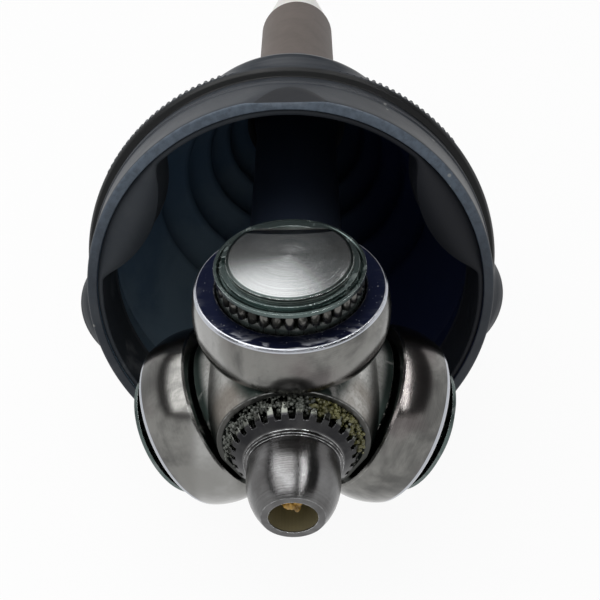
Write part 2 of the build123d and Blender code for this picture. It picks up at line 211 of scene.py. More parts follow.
class GreaseLook(bpy.types.PropertyGroup):
    """Colours of the grease."""

    grey: colour("Grey grease", "Used grease on the left of the splines", 0.12, 0.13, 0.112)
    olive: colour("Olive grease", "Fresh grease on the right of the splines", 0.165, 0.158, 0.055)
    dark: colour("Dark grease", "Blackened grease at the needles", 0.040, 0.050, 0.047)
    amber: colour("Amber grease", "Dried grease in the nose", 0.52, 0.30, 0.05)


class SteelLook(bpy.types.PropertyGroup):
    """Colours of the steel parts."""

    roller: colour("Roller", "Ground steel of the rollers", 0.20, 0.198, 0.188)
    roller_stain: colour("Roller stain", "Darker patches of the rollers", 0.070, 0.070, 0.068)
    roller_face: colour("Roller face", "Blued end face of a roller", 0.005, 0.007, 0.020)
    spider: colour("Spider", "Satin steel of the spider", 0.52, 0.52, 0.505)
    spider_stain: colour("Spider stain", "Darker patches of the spider", 0.29, 0.29, 0.275)
    trunnion_end: colour("Trunnion end", "Turned end of a trunnion", 0.33, 0.34, 0.34)
    brown: colour("Brown tint", "Varnish left by hot grease", 0.15, 0.12, 0.095)
    oily: colour("Oily steel", "Green-grey of oiled spring steel", 0.10, 0.13, 0.125)
    nose: colour("Nose", "Turned steel of the nose", 0.14, 0.14, 0.142)
    nose_stain: colour("Nose stain", "Darker patches of the nose", 0.075, 0.073, 0.073)
    hole: colour("Hole", "Oily inside of the centre hole", 0.32, 0.28, 0.16)
    bar: colour("Bar", "Coated steel of the bar", 0.118, 0.096, 0.086)
    bar_stain: colour("Bar stain", "Darker patches of the bar", 0.095, 0.078, 0.068)
    band: colour("Band", "Clamp band", 0.55, 0.56, 0.57)


class SoftLook(bpy.types.PropertyGroup):
    """Colours of the rubber and the plastic."""

    rubber: colour("Rubber", "Outside of the boot", 0.019, 0.0235, 0.031)
    # Lip front: painted light, lighter than the rubber, on the front face of the lip
    lit_lip_front: colour("Lip front", "Rough front of the lip", 0.094, 0.120, 0.155)
    # Inside: painted light, the rubber made lighter and bluer than outside
    inside: colour("Inside", "Inside of the boot", 0.062, 0.108, 0.170)
    insert: colour("Insert", "Pads in the mouth", 0.020, 0.0245, 0.031)
    dust: colour("Dust", "Dust on the rubber", 0.16, 0.165, 0.17)
    cap: colour("Cap", "White cap", 0.78, 0.77, 0.74)


class StageLook(bpy.types.PropertyGroup):
    """Light and floor."""

    ambient: bpy.props.FloatProperty(name="Ambient", description="Plain light from all round",
                                     default=0.55, min=0)
    floor_shadow: bpy.props.FloatProperty(name="Shadow", default=0.07, min=0, max=1,
                                          description="Share of the floor that takes the shadow")


class TripodSettings(bpy.types.PropertyGroup):
    """All sizes and colours of the joint."""

    collar: bpy.props.PointerProperty(type=CollarSizes)
    swelling: bpy.props.PointerProperty(type=SwellingRow)
    insert: bpy.props.PointerProperty(type=InsertSizes)
    bellows: bpy.props.PointerProperty(type=BellowsSizes)
    needle: bpy.props.PointerProperty(type=NeedleSizes)
    rib: bpy.props.PointerProperty(type=RibSizes)
    grease: bpy.props.PointerProperty(type=GreaseLook)
    steel: bpy.props.PointerProperty(type=SteelLook)
    soft: bpy.props.PointerProperty(type=SoftLook)
    stage: bpy.props.PointerProperty(type=StageLook)


class Nodes:
    """Adds nodes to one tree, so that a formula reads as a chain of calls."""

    def __init__(self, tree):
        self.tree = tree

    def add(self, kind, inputs=None, **settings):
        """Add a node, set its properties, and fill or link its inputs."""
        node = self.tree.nodes.new(kind)
        for name, value in settings.items():
            setattr(node, name, value)
        for key, value in (inputs or {}).items():
            if isinstance(value, bpy.types.NodeSocket):
                self.tree.links.new(value, node.inputs[key])
            else:
                node.inputs[key].default_value = value
        return node

    def output(self, kind, inputs=None, **settings):
        """Add a node and give its first output."""
        return self.add(kind, inputs, **settings).outputs[0]

    def maths(self, operation, *values, clamp=False):
        """One step of arithmetic."""
        return self.output("ShaderNodeMath", dict(enumerate(values)), operation=operation,
                           use_clamp=clamp)

    def times(self, first, second):
        """The product of two values."""
        return self.maths("MULTIPLY", first, second)

    def minus(self, first, second, clamp=False):
        """The first value less the second."""
        return self.maths("SUBTRACT", first, second, clamp=clamp)

    def varied(self, plain, mask, share):
        """A plain value, and a share of the mask on top."""
        return self.maths("ADD", plain, self.times(mask, share))

    def between(self, factor, first, second):
        """A value between two others."""
        return self.output("ShaderNodeMix", {0: factor, 2: first, 3: second})

    def dot(self, first, second):
        """How far the first vector reaches along the second."""
        return self.add("ShaderNodeVectorMath", {0: first, 1: second},
                        operation="DOT_PRODUCT").outputs["Value"]

    def vector(self, x, y, z):
        """A vector from its three parts."""
        return self.output("ShaderNodeCombineXYZ", {0: x, 1: y, 2: z})

    def split(self, vector):
        """The three parts of a vector."""
        return self.add("ShaderNodeSeparateXYZ", {"Vector": vector}).outputs

    def ramp(self, value, low, high, start=0.0, end=1.0):
        """A smooth step from start to end, as the value goes from low to high."""
        return self.output("ShaderNodeMapRange",
                           {"Value": value, "From Min": low, "From Max": high,
                            "To Min": start, "To Max": end}, interpolation_type="SMOOTHSTEP")

    def band(self, value, low, high, soft):
        """1 between low and high, and 0 outside, with soft edges."""
        rise = self.ramp(value, low - soft, low + soft)
        fall = self.ramp(value, high - soft, high + soft, 1.0, 0.0)
        return self.times(rise, fall)

    def mix(self, factor, first, second):
        """A colour between two others."""
        return self.add("ShaderNodeMix", {0: factor, 6: rgba(first), 7: rgba(second)},
                        data_type="RGBA").outputs[2]

    def over(self, under, mask, strength, tint):
        """A colour with a tint over it where the mask is, as strong as is said."""
        return self.mix(self.times(mask, strength), under, tint)

    def noise(self, vector, scale, detail=3.0, roughness=0.5, distortion=0.0):
        """Soft noise from 0 to 1."""
        return self.output("ShaderNodeTexNoise",
                           {"Vector": vector, "Scale": scale, "Detail": detail,
                            "Roughness": roughness, "Distortion": distortion})

    def object_place(self):
        """Object coordinates, which are the frame's own."""
        return self.add("ShaderNodeTexCoord").outputs["Object"]

    def off_axis(self, first, second):
        """Distance from an axis, from the two parts across it."""
        squares = self.maths("ADD", self.times(first, first), self.times(second, second))
        return self.maths("SQRT", squares)

    def bump(self, height, strength, distance, normal=None):
        """Normal of a surface with this height on it."""
        inputs = {"Height": height, "Strength": strength, "Distance": distance}
        if normal is not None:
            inputs["Normal"] = normal
        return self.output("ShaderNodeBump", inputs)


def rgba(value):
    """A colour with full alpha, or the socket or colour as it is."""
    if isinstance(value, bpy.types.NodeSocket) or len(value) == 4:
        return value
    return (*value, 1.0)


# Types of the sockets that don't hold a decimal number
SOCKET_TYPES = {"Vector": "NodeSocketVector", "Rounded": "NodeSocketVector",
                "Mouth": "NodeSocketVector", "Count": "NodeSocketInt", "Sides": "NodeSocketInt",
                "Seed": "NodeSocketInt", "Material": "NodeSocketMaterial",
                "Geometry": "NodeSocketGeometry"}


class Group(Nodes):
    """A new node group with named sockets, and its two end nodes."""

    kind = "ShaderNodeTree"

    def __init__(self, name, inputs, outputs):
        super().__init__(bpy.data.node_groups.new(name, self.kind))
        for labels, way in ((inputs, "INPUT"), (outputs, "OUTPUT")):
            for label in labels:
                self.tree.interface.new_socket(
                    label, in_out=way, socket_type=SOCKET_TYPES.get(label, "NodeSocketFloat"))
        self.start = self.add("NodeGroupInput").outputs
        self.end = self.add("NodeGroupOutput").inputs

    def put_out(self, label, socket):
        """Link a result to one of the group's outputs."""
        self.tree.links.new(socket, self.end[label])


class Shape(Group):
    """A new geometry tree, which ends in one painted mesh."""

    kind = "GeometryNodeTree"

    def __init__(self, name, inputs):
        super().__init__(name, (*inputs, "Material"), ("Geometry",))
        self.tree.is_modifier = True

    def placed(self, geometry, **move):
        """The geometry, moved or turned."""
        return self.output("GeometryNodeTransform", {"Geometry": geometry, **move})

    def on_points(self, points, instance):
        """A copy of the instance on each point."""
        return self.output("GeometryNodeInstanceOnPoints",
                           {"Points": points, "Instance": instance})

    def smooth(self, geometry):
        """The geometry, shaded smooth."""
        return self.output("GeometryNodeSetShadeSmooth", {"Geometry": geometry})

    def finish(self, geometry):
        """Realize the instances, set the material and end the tree."""
        whole = self.output("GeometryNodeRealizeInstances", {"Geometry": geometry})
        self.put_out("Geometry", self.output("GeometryNodeSetMaterial",
                                             {"Geometry": whole,
                                              "Material": self.start["Material"]}))
        return self.tree


class Surface(Nodes):
    """The nodes of one new material, around its Principled shader."""

    def __init__(self, name, **constants):
        """Make the material, and set the constant inputs of its shader by name."""
        material = bpy.data.materials.new(name)
        material.use_nodes = True
        super().__init__(material.node_tree)
        self.shader = self.tree.nodes["Principled BSDF"].inputs
        for key, value in constants.items():
            self.shader[key.replace("_", " ")].default_value = value
        self.place = self.object_place()

    def group(self, name, **inputs):
        """Place one of the shared groups on this surface."""
        return self.add("ShaderNodeGroup", {"Vector": self.place, **inputs},
                        node_tree=bpy.data.node_groups[name]).outputs

    def edge(self, width):
        """Edge wear and painted highlight, and the normal that rounds the edges."""
        return self.group("Edge wear", Width=width)

    def lines(self, distance, spacing):
        """Turning or grinding lines that follow one distance."""
        return self.group("Fine lines", Distance=distance, Spacing=spacing)["Lines"]

    def cloud(self, *settings):
        """Soft noise over the surface."""
        return self.noise(self.place, *settings)

    def stretched(self, scale):
        """The place with each axis scaled on its own."""
        return self.output("ShaderNodeMapping", {"Vector": self.place, "Scale": scale})

    def smears(self, scale, amount, stretch=None):
        """Soft patches, which are narrower along an axis with a larger stretch."""
        place = self.stretched(stretch) if stretch else self.place
        return self.group("Smears", Vector=place, Scale=scale, Amount=amount)["Mask"]

    def specks(self, scale, amount):
        """Small dots of dirt."""
        return self.group("Specks", Scale=scale, Amount=amount)["Mask"]

    def grained(self, scale, strength, depth):
        """Normal with the fine grain of moulded rubber."""
        return self.bump(self.group("Grain", Scale=scale)["Height"], strength, depth)

    def trunnion_place(self):
        """Height along the nearest trunnion, and distance from its axis."""
        found = self.group("Trunnion place")
        return found["Height"], found["Radius"]

    def finish(self, **sockets):
        """Link computed colours, values and normals to the shader."""
        for key, socket in sockets.items():
            self.tree.links.new(socket, self.shader[key.replace("_", " ")])


def build_edge_wear_and_highlight():
    """Group: edge wear with a painted highlight on the edge, and the normal of a slightly rounded
    edge.
    """
    nodes = Group("Edge wear", ("Width", "Vector"), ("Wear and highlight", "Rounded"))
    rounded = nodes.output("ShaderNodeBevel", {"Radius": nodes.start["Width"]}, samples=4)
    plain = nodes.add("ShaderNodeNewGeometry").outputs["Normal"]
    edge = nodes.ramp(nodes.dot(rounded, plain), 0.97, 0.80)
    broken = nodes.ramp(nodes.noise(nodes.start["Vector"], 900.0, 4.0), 0.30, 0.62)
    nodes.put_out("Wear and highlight", nodes.times(edge, broken))
    nodes.put_out("Rounded", rounded)


def build_fine_lines():
    """Group: turning or grinding lines that follow one distance."""
    nodes = Group("Fine lines", ("Distance", "Spacing", "Vector"), ("Lines",))
    steps = nodes.maths("DIVIDE", nodes.start["Distance"], nodes.start["Spacing"])
    moved = nodes.varied(steps, nodes.noise(nodes.start["Vector"], 60.0, 2.0), 2.5)
    lines = nodes.output("ShaderNodeTexNoise",
                         {"W": moved, "Scale": 1.0, "Detail": 3.0, "Roughness": 0.7},
                         noise_dimensions="1D")
    nodes.put_out("Lines", nodes.ramp(lines, 0.25, 0.75))


def build_smears():
    """Group: soft uneven patches, such as oil or stains."""
    nodes = Group("Smears", ("Vector", "Scale", "Amount"), ("Mask",))
    cloud = nodes.noise(nodes.start["Vector"], nodes.start["Scale"], 6.0, 0.6, 0.5)
    low = nodes.varied(0.78, nodes.start["Amount"], -0.5)
    high = nodes.maths("ADD", low, 0.14)
    nodes.put_out("Mask", nodes.ramp(cloud, low, high))


def build_specks():
    """Group: small dots of dirt, a few to each cell of a grid."""
    nodes = Group("Specks", ("Vector", "Scale", "Amount"), ("Mask",))
    cells = nodes.add("ShaderNodeTexVoronoi", {"Vector": nodes.start["Vector"],
                                               "Scale": nodes.start["Scale"]}).outputs
    chance = nodes.split(cells["Color"])[0]
    chosen = nodes.maths("LESS_THAN", chance, nodes.start["Amount"])
    nodes.put_out("Mask", nodes.times(chosen, nodes.ramp(cells["Distance"], 0.22, 0.10)))


def build_trunnion_place():
    """Group: height along the nearest trunnion, and distance from its axis."""
    nodes = Group("Trunnion place", ("Vector",), ("Height", "Radius"))
    place = nodes.start["Vector"]
    first, second, third = [nodes.dot(place, tuple(trunnion_axis(number)))
                            for number in TRUNNION_ANGLES]
    height = nodes.maths("MAXIMUM", nodes.maths("MAXIMUM", first, second), third)
    across = nodes.minus(nodes.dot(place, place), nodes.times(height, height))
    nodes.put_out("Height", height)
    nodes.put_out("Radius", nodes.maths("SQRT", nodes.maths("MAXIMUM", across, 0.0)))


def build_grain():
    """Group: height of the fine grain of moulded rubber."""
    nodes = Group("Grain", ("Vector", "Scale"), ("Height",))
    place, scale = nodes.start["Vector"], nodes.start["Scale"]
    fine = nodes.noise(place, scale, 3.0, 0.7)
    coarse = nodes.noise(place, nodes.times(scale, 0.12), 2.0)
    nodes.put_out("Height", nodes.varied(nodes.times(fine, 0.6), coarse, 0.4))


class Tint:
    """Fixed tints that lie over the colours of the settings."""

    ground_line = (0.27, 0.265, 0.25)
    pitted = (0.06, 0.06, 0.055)
    heat = (0.105, 0.075, 0.080)
    stripe_tint = (0.40, 0.40, 0.39)
    scuff = (0.42, 0.43, 0.47)
    # Painted highlight on the rim of each roller
    roller_corner_highlight = (0.50, 0.52, 0.57)
    # Edge tints: edge wear and painted highlight
    roller_edge = (0.85, 0.85, 0.85)
    turned_line = (0.56, 0.56, 0.54)
    pepper = (0.16, 0.16, 0.15)
    scratch = (0.75, 0.75, 0.73)
    oil_and_shade_tint = (0.030, 0.042, 0.038)
    hub_front_oil_and_shade = (0.055, 0.055, 0.052)
    end_line = (0.19, 0.197, 0.20)
    ring_land = (0.05, 0.065, 0.062)
    spider_edge = (0.62, 0.63, 0.62)
    nose_line = (0.22, 0.22, 0.22)
    cone = (0.022, 0.022, 0.024)
    cone_stain = (0.045, 0.045, 0.046)
    teeth = (0.13, 0.135, 0.12)
    bar_in_boot_painted_light = (0.014, 0.023, 0.045)
    shaft_edge = (0.80, 0.81, 0.82)
    thin_oil = (0.17, 0.195, 0.19)
    spring_edge = (0.72, 0.74, 0.74)
    needle = (0.135, 0.132, 0.124)
    needle_oil = (0.028, 0.028, 0.026)
    band_line = (0.36, 0.37, 0.38)
    band_edge = (0.80, 0.80, 0.80)
    ridge_wall_shade = (0.001, 0.0015, 0.002)
    lip_flat_shade = (0.004, 0.005, 0.008)
    speck = (0.35, 0.35, 0.33)
    rubber_scratch = (0.30, 0.31, 0.32)
    grease_film = (0.15, 0.215, 0.27)
    inside_shade_right = (0.004, 0.008, 0.030)
    insert_shade_right = (0.003, 0.004, 0.007)
    cap_cloud = (0.62, 0.61, 0.58)
    cap_scuff = (0.45, 0.43, 0.40)


class Zone:
    """Where a finish begins and where it is full, in metres.

    A band has its two ends and how soft they are.
    """

    lighter_stripe = (-18.5 * MM, -11.0 * MM, 1.5 * MM)
    blued_radius = (16.85 * MM, 16.70 * MM)
    corner_highlight_radius = (16.62 * MM, 16.74 * MM)
    scuffed_radius = (15.2 * MM, 16.7 * MM)
    scuffed_side = (-10.0 * MM, -14.5 * MM)
    trunnion_end = (29.5 * MM, 29.8 * MM)
    ring_land = (10.45 * MM, 10.65 * MM)
    varnish_radius = (13.2 * MM, 16.4 * MM, 0.7 * MM)
    varnish_front = (-9.0 * MM, -13.0 * MM)
    crevice = (11.5 * MM, 14.6 * MM, 1.2 * MM)
    oil_and_shade_below = (7.0 * MM, 1.0 * MM)
    hub_front_oil_and_shade = (-15.6 * MM, -16.0 * MM)
    edge_highlight_above = (1.0 * MM, 8.0 * MM)
    hole_radius = (4.4 * MM, 4.2 * MM)
    hole_depth = (-31.9 * MM, -31.6 * MM)
    cone = (-20.2 * MM, -16.0 * MM, 0.12 * MM)
    teeth = (-18.7 * MM, -18.3 * MM)
    coated_bar = (16.0 * MM, 19.0 * MM)
    bar_outside = (112.0 * MM, 118.0 * MM)
    lit_lip_front = (0.35 * MM, 0.15 * MM)
    lit_lip = (-4.0 * MM, 34.0 * MM)
    ridge_wall_shade = (13.9 * MM, 15.3 * MM, 0.3 * MM)
    shade_right_inside = (-30.0 * MM, 25.0 * MM)
    filmed_inside = (4.0 * MM, -22.0 * MM)
    shade_right_insert = (-15.0 * MM, 25.0 * MM)
    low_insert = (5.0 * MM, -8.0 * MM)


def roller_steel(look):
    """Ground rollers with a blued end face, scuffs, a lighter stripe, edges bright from wear and
    painted highlight, and a painted highlight round the rim.
    """
    nodes = Surface("roller_steel", Metallic=1.0)
    height, radius = nodes.trunnion_place()
    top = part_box("roller_1")[1].z
    edge = nodes.edge(0.35 * MM)
    lines = nodes.lines(height, 0.14 * MM)
    stain = nodes.cloud(95.0, 6.0, 0.62, 0.6)
    ground = nodes.mix(nodes.ramp(stain, 0.36, 0.66), look.roller, look.roller_stain)
    ground = nodes.over(ground, lines, 0.30, Tint.ground_line)
    mottle = nodes.ramp(nodes.cloud(900.0, 3.0, 0.7), 0.62, 0.78, 0.0, 0.35)
    ground = nodes.mix(mottle, ground, Tint.pitted)
    heated = nodes.ramp(nodes.cloud(70.0, 2.0), 0.52, 0.66, 0.0, 0.30)
    ground = nodes.mix(heated, ground, Tint.heat)
    # A lighter stripe across the rollers, over a fixed span of x
    stripe = nodes.band(nodes.split(nodes.place)[0], *Zone.lighter_stripe)
    ground = nodes.over(ground, stripe, nodes.ramp(stain, 0.35, 0.60, 0.2, 0.8), Tint.stripe_tint)
    face = nodes.times(nodes.ramp(height, top - 0.30 * MM, top - 0.10 * MM),
                       nodes.ramp(radius, *Zone.blued_radius))
    at_rim = nodes.times(nodes.ramp(radius, *Zone.scuffed_radius, 0.12, 1.0),
                         nodes.ramp(nodes.split(nodes.place)[1], *Zone.scuffed_side, 0.05, 1.0))
    scuff = nodes.times(nodes.smears(260.0, 0.62, (1.0, 2.5, 1.0)), at_rim)
    marks = nodes.maths("MAXIMUM", scuff, nodes.times(nodes.specks(1900.0, 0.16), 0.5))
    blued = nodes.mix(marks, look.roller_face, Tint.scuff)
    colour_here = nodes.mix(face, ground, blued)
    # Painted highlight: a bright band round the rim of each roller's end face
    corner = nodes.times(nodes.ramp(height, top - 0.62 * MM, top - 0.50 * MM),
                         nodes.ramp(radius, *Zone.corner_highlight_radius))
    colour_here = nodes.over(colour_here, corner, 0.85, Tint.roller_corner_highlight)
    # Bright edges: edge wear and painted highlight
    colour_here = nodes.over(colour_here, edge["Wear and highlight"], 0.8, Tint.roller_edge)
    rough = nodes.between(face, nodes.varied(0.11, stain, 0.14), nodes.varied(0.42, marks, 0.15))
    normal = nodes.bump(lines, 0.14, 0.012 * MM, edge["Rounded"])
    nodes.finish(Base_Color=colour_here, Roughness=rough,
                 Normal=nodes.bump(marks, 0.3, 0.02 * MM, normal))


def spider_steel(look):
    """Satin forging with turned trunnion ends, brown varnish, grease with painted shade low down,
    in a band along each trunnion and on the hub's front, and edges bright from wear and painted
    highlight, most at the top.
    """
    nodes = Surface("spider_steel", Metallic=1.0)
    height, radius = nodes.trunnion_place()
    across, along, up = nodes.split(nodes.place)
    shaft_radius = nodes.off_axis(across, up)
    edge = nodes.edge(0.30 * MM)
    turned = nodes.lines(along, 0.22 * MM)
    end_lines = nodes.lines(radius, 0.16 * MM)
    on_end = nodes.ramp(height, *Zone.trunnion_end)
    cloud = nodes.cloud(120.0, 6.0, 0.62, 0.4)
    satin = nodes.mix(nodes.ramp(cloud, 0.36, 0.66), look.spider, look.spider_stain)
    satin = nodes.over(satin, turned, 0.25, Tint.turned_line)
    peppered = nodes.ramp(nodes.cloud(1500.0, 4.0, 0.7), 0.48, 0.66, 0.0, 0.45)
    satin = nodes.mix(peppered, satin, Tint.pepper)
    scratched = nodes.noise(nodes.stretched((14.0, 1.0, 3.0)), 260.0, 3.0, 0.6)
    satin = nodes.mix(nodes.ramp(scratched, 0.62, 0.68, 0.0, 0.35), satin, Tint.scratch)
    varnish = nodes.times(nodes.band(shaft_radius, *Zone.varnish_radius),
                          nodes.ramp(along, *Zone.varnish_front))
    varnish = nodes.times(varnish, nodes.ramp(cloud, 0.30, 0.65))
    satin = nodes.over(satin, varnish, 0.6, look.brown)
    # Oil and painted shade: darker towards the bottom of the spider and in a band along each
    # trunnion
    oil_and_shade_mask = nodes.maths("MAXIMUM", nodes.band(height, *Zone.crevice),
                      nodes.times(nodes.ramp(up, *Zone.oil_and_shade_below), 0.9))
    satin = nodes.over(satin, oil_and_shade_mask, nodes.smears(130.0, 0.95), Tint.oil_and_shade_tint)
    # Oil and painted shade on the front face of the hub
    satin = nodes.over(satin, nodes.ramp(along, *Zone.hub_front_oil_and_shade), 0.88, Tint.hub_front_oil_and_shade)
    end = nodes.over(look.trunnion_end, end_lines, 0.55, Tint.end_line)
    end = nodes.mix(nodes.ramp(radius, *Zone.ring_land), end, Tint.ring_land)
    colour_here = nodes.mix(on_end, satin, end)
    # Edges brighter towards the top: painted highlight
    top_edge_highlight = nodes.ramp(up, *Zone.edge_highlight_above, 0.1, 0.8)
    colour_here = nodes.over(colour_here, edge["Wear and highlight"], top_edge_highlight, Tint.spider_edge)
    rough = nodes.between(on_end, nodes.varied(0.26, cloud, 0.16), 0.20)
    lines = nodes.between(on_end, turned, end_lines)
    nodes.finish(Base_Color=colour_here, Roughness=rough,
                 Normal=nodes.bump(lines, 0.30, 0.02 * MM, edge["Rounded"]))


def shaft_steel(look):
    """One bar: turned nose, dark cone, greasy splines, then the coated bar, which inside the boot
    takes the navy tone of the boot's inside as painted light.
    """
    nodes = Surface("shaft_steel")
    across, along, up = nodes.split(nodes.place)
    radius = nodes.off_axis(across, up)
    edge = nodes.edge(0.25 * MM)
    lines = nodes.lines(along, 0.15 * MM)
    cloud = nodes.cloud(150.0, 6.0, 0.65, 0.5)
    bare = nodes.mix(nodes.ramp(cloud, 0.34, 0.62), look.nose, look.nose_stain)
    bare = nodes.over(bare, lines, 0.45, Tint.nose_line)
    in_hole = nodes.times(nodes.ramp(radius, *Zone.hole_radius),
                          nodes.ramp(along, *Zone.hole_depth))
    bare = nodes.mix(in_hole, bare, look.hole)
    cone = nodes.band(along, *Zone.cone)
    dark = nodes.mix(nodes.ramp(cloud, 0.35, 0.65), Tint.cone, Tint.cone_stain)
    bare = nodes.mix(cone, bare, dark)
    bare = nodes.mix(nodes.ramp(along, *Zone.teeth), bare, Tint.teeth)
    # Bright edges, less on the cone: edge wear and painted highlight
    bare = nodes.over(bare, edge["Wear and highlight"], nodes.varied(0.7, cone, -0.55), Tint.shaft_edge)
    coat = nodes.mix(nodes.ramp(cloud, 0.32, 0.72), look.bar, look.bar_stain)
    # Painted light: inside the boot the bar takes the navy tone of the boot's inside
    coat = nodes.mix(nodes.ramp(along, *Zone.bar_outside), Tint.bar_in_boot_painted_light, coat)
    coated = nodes.ramp(along, *Zone.coated_bar)
    metal = nodes.minus(nodes.varied(1.0, coated, -0.9), nodes.times(in_hole, 0.6), clamp=True)
    height = nodes.between(coated, lines, nodes.cloud(2500.0, 2.0))
    nodes.finish(Base_Color=nodes.mix(coated, bare, coat),
                 Roughness=nodes.between(coated, nodes.varied(0.09, cloud, 0.16), 0.62),
                 Metallic=metal, Normal=nodes.bump(height, 0.30, 0.022 * MM, edge["Rounded"]))


def spring_steel(look):
    """Oily blued steel of the retainers and snap rings, bright at the edges."""
    nodes = Surface("spring_steel", Metallic=1.0)
    edge = nodes.edge(0.14 * MM)
    oil = nodes.smears(260.0, 0.5)
    base = nodes.mix(oil, look.oily, Tint.thin_oil)
    # Bright edges: edge wear and painted highlight
    nodes.finish(Base_Color=nodes.over(base, edge["Wear and highlight"], 0.6, Tint.spring_edge),
                 Roughness=nodes.varied(0.20, oil, 0.15),
                 Normal=nodes.bump(nodes.cloud(1200.0, 3.0), 0.12, 0.02 * MM, edge["Rounded"]))


def needle_steel():
    """Oily needles."""
    nodes = Surface("needle_steel", Metallic=1.0)
    oil = nodes.smears(420.0, 0.75)
    nodes.finish(Base_Color=nodes.mix(oil, Tint.needle, Tint.needle_oil),
                 Roughness=nodes.varied(0.20, oil, 0.2))


def band_steel(look):
    """Clamp band: rolled stainless steel."""
    nodes = Surface("band_steel", Metallic=1.0)
    lines = nodes.lines(nodes.split(nodes.place)[1], 0.15 * MM)
    base = nodes.over(look.band, lines, 0.4, Tint.band_line)
    # Bright edges: edge wear and painted highlight
    nodes.finish(Base_Color=nodes.mix(nodes.edge(0.3 * MM)["Wear and highlight"], base, Tint.band_edge),
                 Roughness=nodes.varied(0.26, lines, 0.12),
                 Normal=nodes.bump(lines, 0.12, 0.02 * MM))


# Painted shade on the flat on top of the lip, seen from above: middle, half width and depth
FLAT_MIDDLE = 1.1 * MM
FLAT_HALF_WIDTH = 7.2 * MM
FLAT_DEPTH = 7.7 * MM


def lip_flat_shade(nodes, across, back, up):
    """Mask of the painted shade on the lens-shaped flat on top of the lip, from places in the
    mouth.
    """
    beside = nodes.maths("DIVIDE", nodes.minus(across, FLAT_MIDDLE), FLAT_HALF_WIDTH)
    arch = nodes.minus(1.0, nodes.times(beside, beside))
    inside = nodes.minus(nodes.times(arch, FLAT_DEPTH), back)
    return nodes.times(nodes.ramp(inside, 0.0, 0.3 * MM), nodes.ramp(up, 0.0, 1.0 * MM))


def boot_rubber(look):
    """Moulded rubber with grain, a dusty bloom, scratches and specks, painted light on the front
    of the lip, and painted shade on the ridge's front wall and on the flat of the lip.
    """
    nodes = Surface("boot_rubber", IOR=1.5, Specular_IOR_Level=0.22)
    from_mouth = nodes.output("ShaderNodeVectorMath", {0: nodes.place, 1: tuple(MOUTH)},
                              operation="SUBTRACT")
    across, back, up = [nodes.dot(from_mouth, tuple(way)) for way in (RIGHT, -FORWARD, UPWARD)]
    bloom = nodes.cloud(55.0, 5.0, 0.6, 0.5)
    dust_light_and_shade = nodes.mix(nodes.ramp(bloom, 0.40, 0.80, 0.0, 0.16), look.rubber, look.dust)
    streaks = nodes.ramp(nodes.lines(back, 0.5 * MM), 0.4, 1.0, 0.0, 0.10)
    dust_light_and_shade = nodes.mix(streaks, dust_light_and_shade, look.dust)
    mottle = nodes.ramp(nodes.cloud(700.0, 4.0, 0.65), 0.35, 0.65)
    # Painted light: the lip's front face lighter than the rubber, lightest at the top
    lit_front = nodes.mix(mottle, look.rubber, look.lit_lip_front)
    lit_front = nodes.mix(0.6, lit_front, look.lit_lip_front)
    front = nodes.ramp(back, *Zone.lit_lip_front)
    lit = nodes.ramp(up, *Zone.lit_lip, 0.05, 1.0)
    dust_light_and_shade = nodes.over(dust_light_and_shade, front, lit, lit_front)
    # Painted shade: a near-black band on the front wall of the ridge
    dust_light_and_shade = nodes.mix(nodes.band(back, *Zone.ridge_wall_shade), dust_light_and_shade, Tint.ridge_wall_shade)
    # Painted shade on the flat on top of the lip
    flat = nodes.times(lip_flat_shade(nodes, across, back, up), nodes.minus(1.0, front))
    dust_light_and_shade = nodes.over(dust_light_and_shade, flat, 0.9, Tint.lip_flat_shade)
    dust_light_and_shade = nodes.over(dust_light_and_shade, nodes.specks(420.0, 0.06), 0.5, Tint.speck)
    scratch = nodes.smears(90.0, 0.12, (6.0, 1.0, 1.5))
    nodes.finish(Base_Color=nodes.over(dust_light_and_shade, scratch, 0.12, Tint.rubber_scratch),
                 Roughness=nodes.ramp(bloom, 0.30, 0.75, 0.36, 0.52),
                 Normal=nodes.grained(2600.0, 0.35, 0.05 * MM))


def boot_inside(look):
    """Inside of the boot: dark rubber painted lighter and bluer than outside as painted light,
    with a film of grease and painted shade towards the right.
    """
    nodes = Surface("boot_inside", IOR=1.45, Specular_IOR_Level=0.12)
    place = nodes.split(nodes.place)
    bloom = nodes.cloud(70.0, 4.0, 0.6, 0.4)
    # Painted light: the inside colour is lighter and bluer than the same rubber outside
    base = nodes.mix(nodes.ramp(bloom, 0.40, 0.75, 0.0, 0.10), look.inside, look.dust)
    base = nodes.over(base, nodes.ramp(place["Z"], *Zone.filmed_inside),
                      nodes.ramp(bloom, 0.30, 0.65, 0.3, 0.9), Tint.grease_film)
    # Painted shade: darker towards the right
    far = nodes.ramp(place["X"], *Zone.shade_right_inside)
    nodes.finish(Base_Color=nodes.mix(far, base, Tint.inside_shade_right),
                 Roughness=nodes.ramp(bloom, 0.3, 0.75, 0.62, 0.80),
                 Normal=nodes.grained(2200.0, 0.25, 0.04 * MM))


def insert_rubber(look):
    """Matte pads in the mouth, with painted shade towards the right."""
    nodes = Surface("insert_rubber", IOR=1.45, Specular_IOR_Level=0.28)
    place = nodes.split(nodes.place)
    bloom = nodes.cloud(90.0, 5.0, 0.6, 0.3)
    oil = nodes.smears(60.0, 0.45)
    base = nodes.mix(nodes.ramp(bloom, 0.35, 0.8, 0.0, 0.10), look.insert, look.dust)
    # Painted shade: darker towards the right, where the oil fades out
    far = nodes.ramp(place["X"], *Zone.shade_right_insert, 0.0, 0.95)
    base = nodes.mix(far, base, Tint.insert_shade_right)
    low_oil = nodes.times(nodes.ramp(place["Z"], *Zone.low_insert, 0.0, 0.45), oil)
    nodes.finish(Base_Color=nodes.over(base, low_oil, nodes.minus(1.0, far), look.dust),
                 Roughness=nodes.varied(0.62, oil, -0.16),
                 Normal=nodes.grained(3200.0, 0.30, 0.04 * MM))


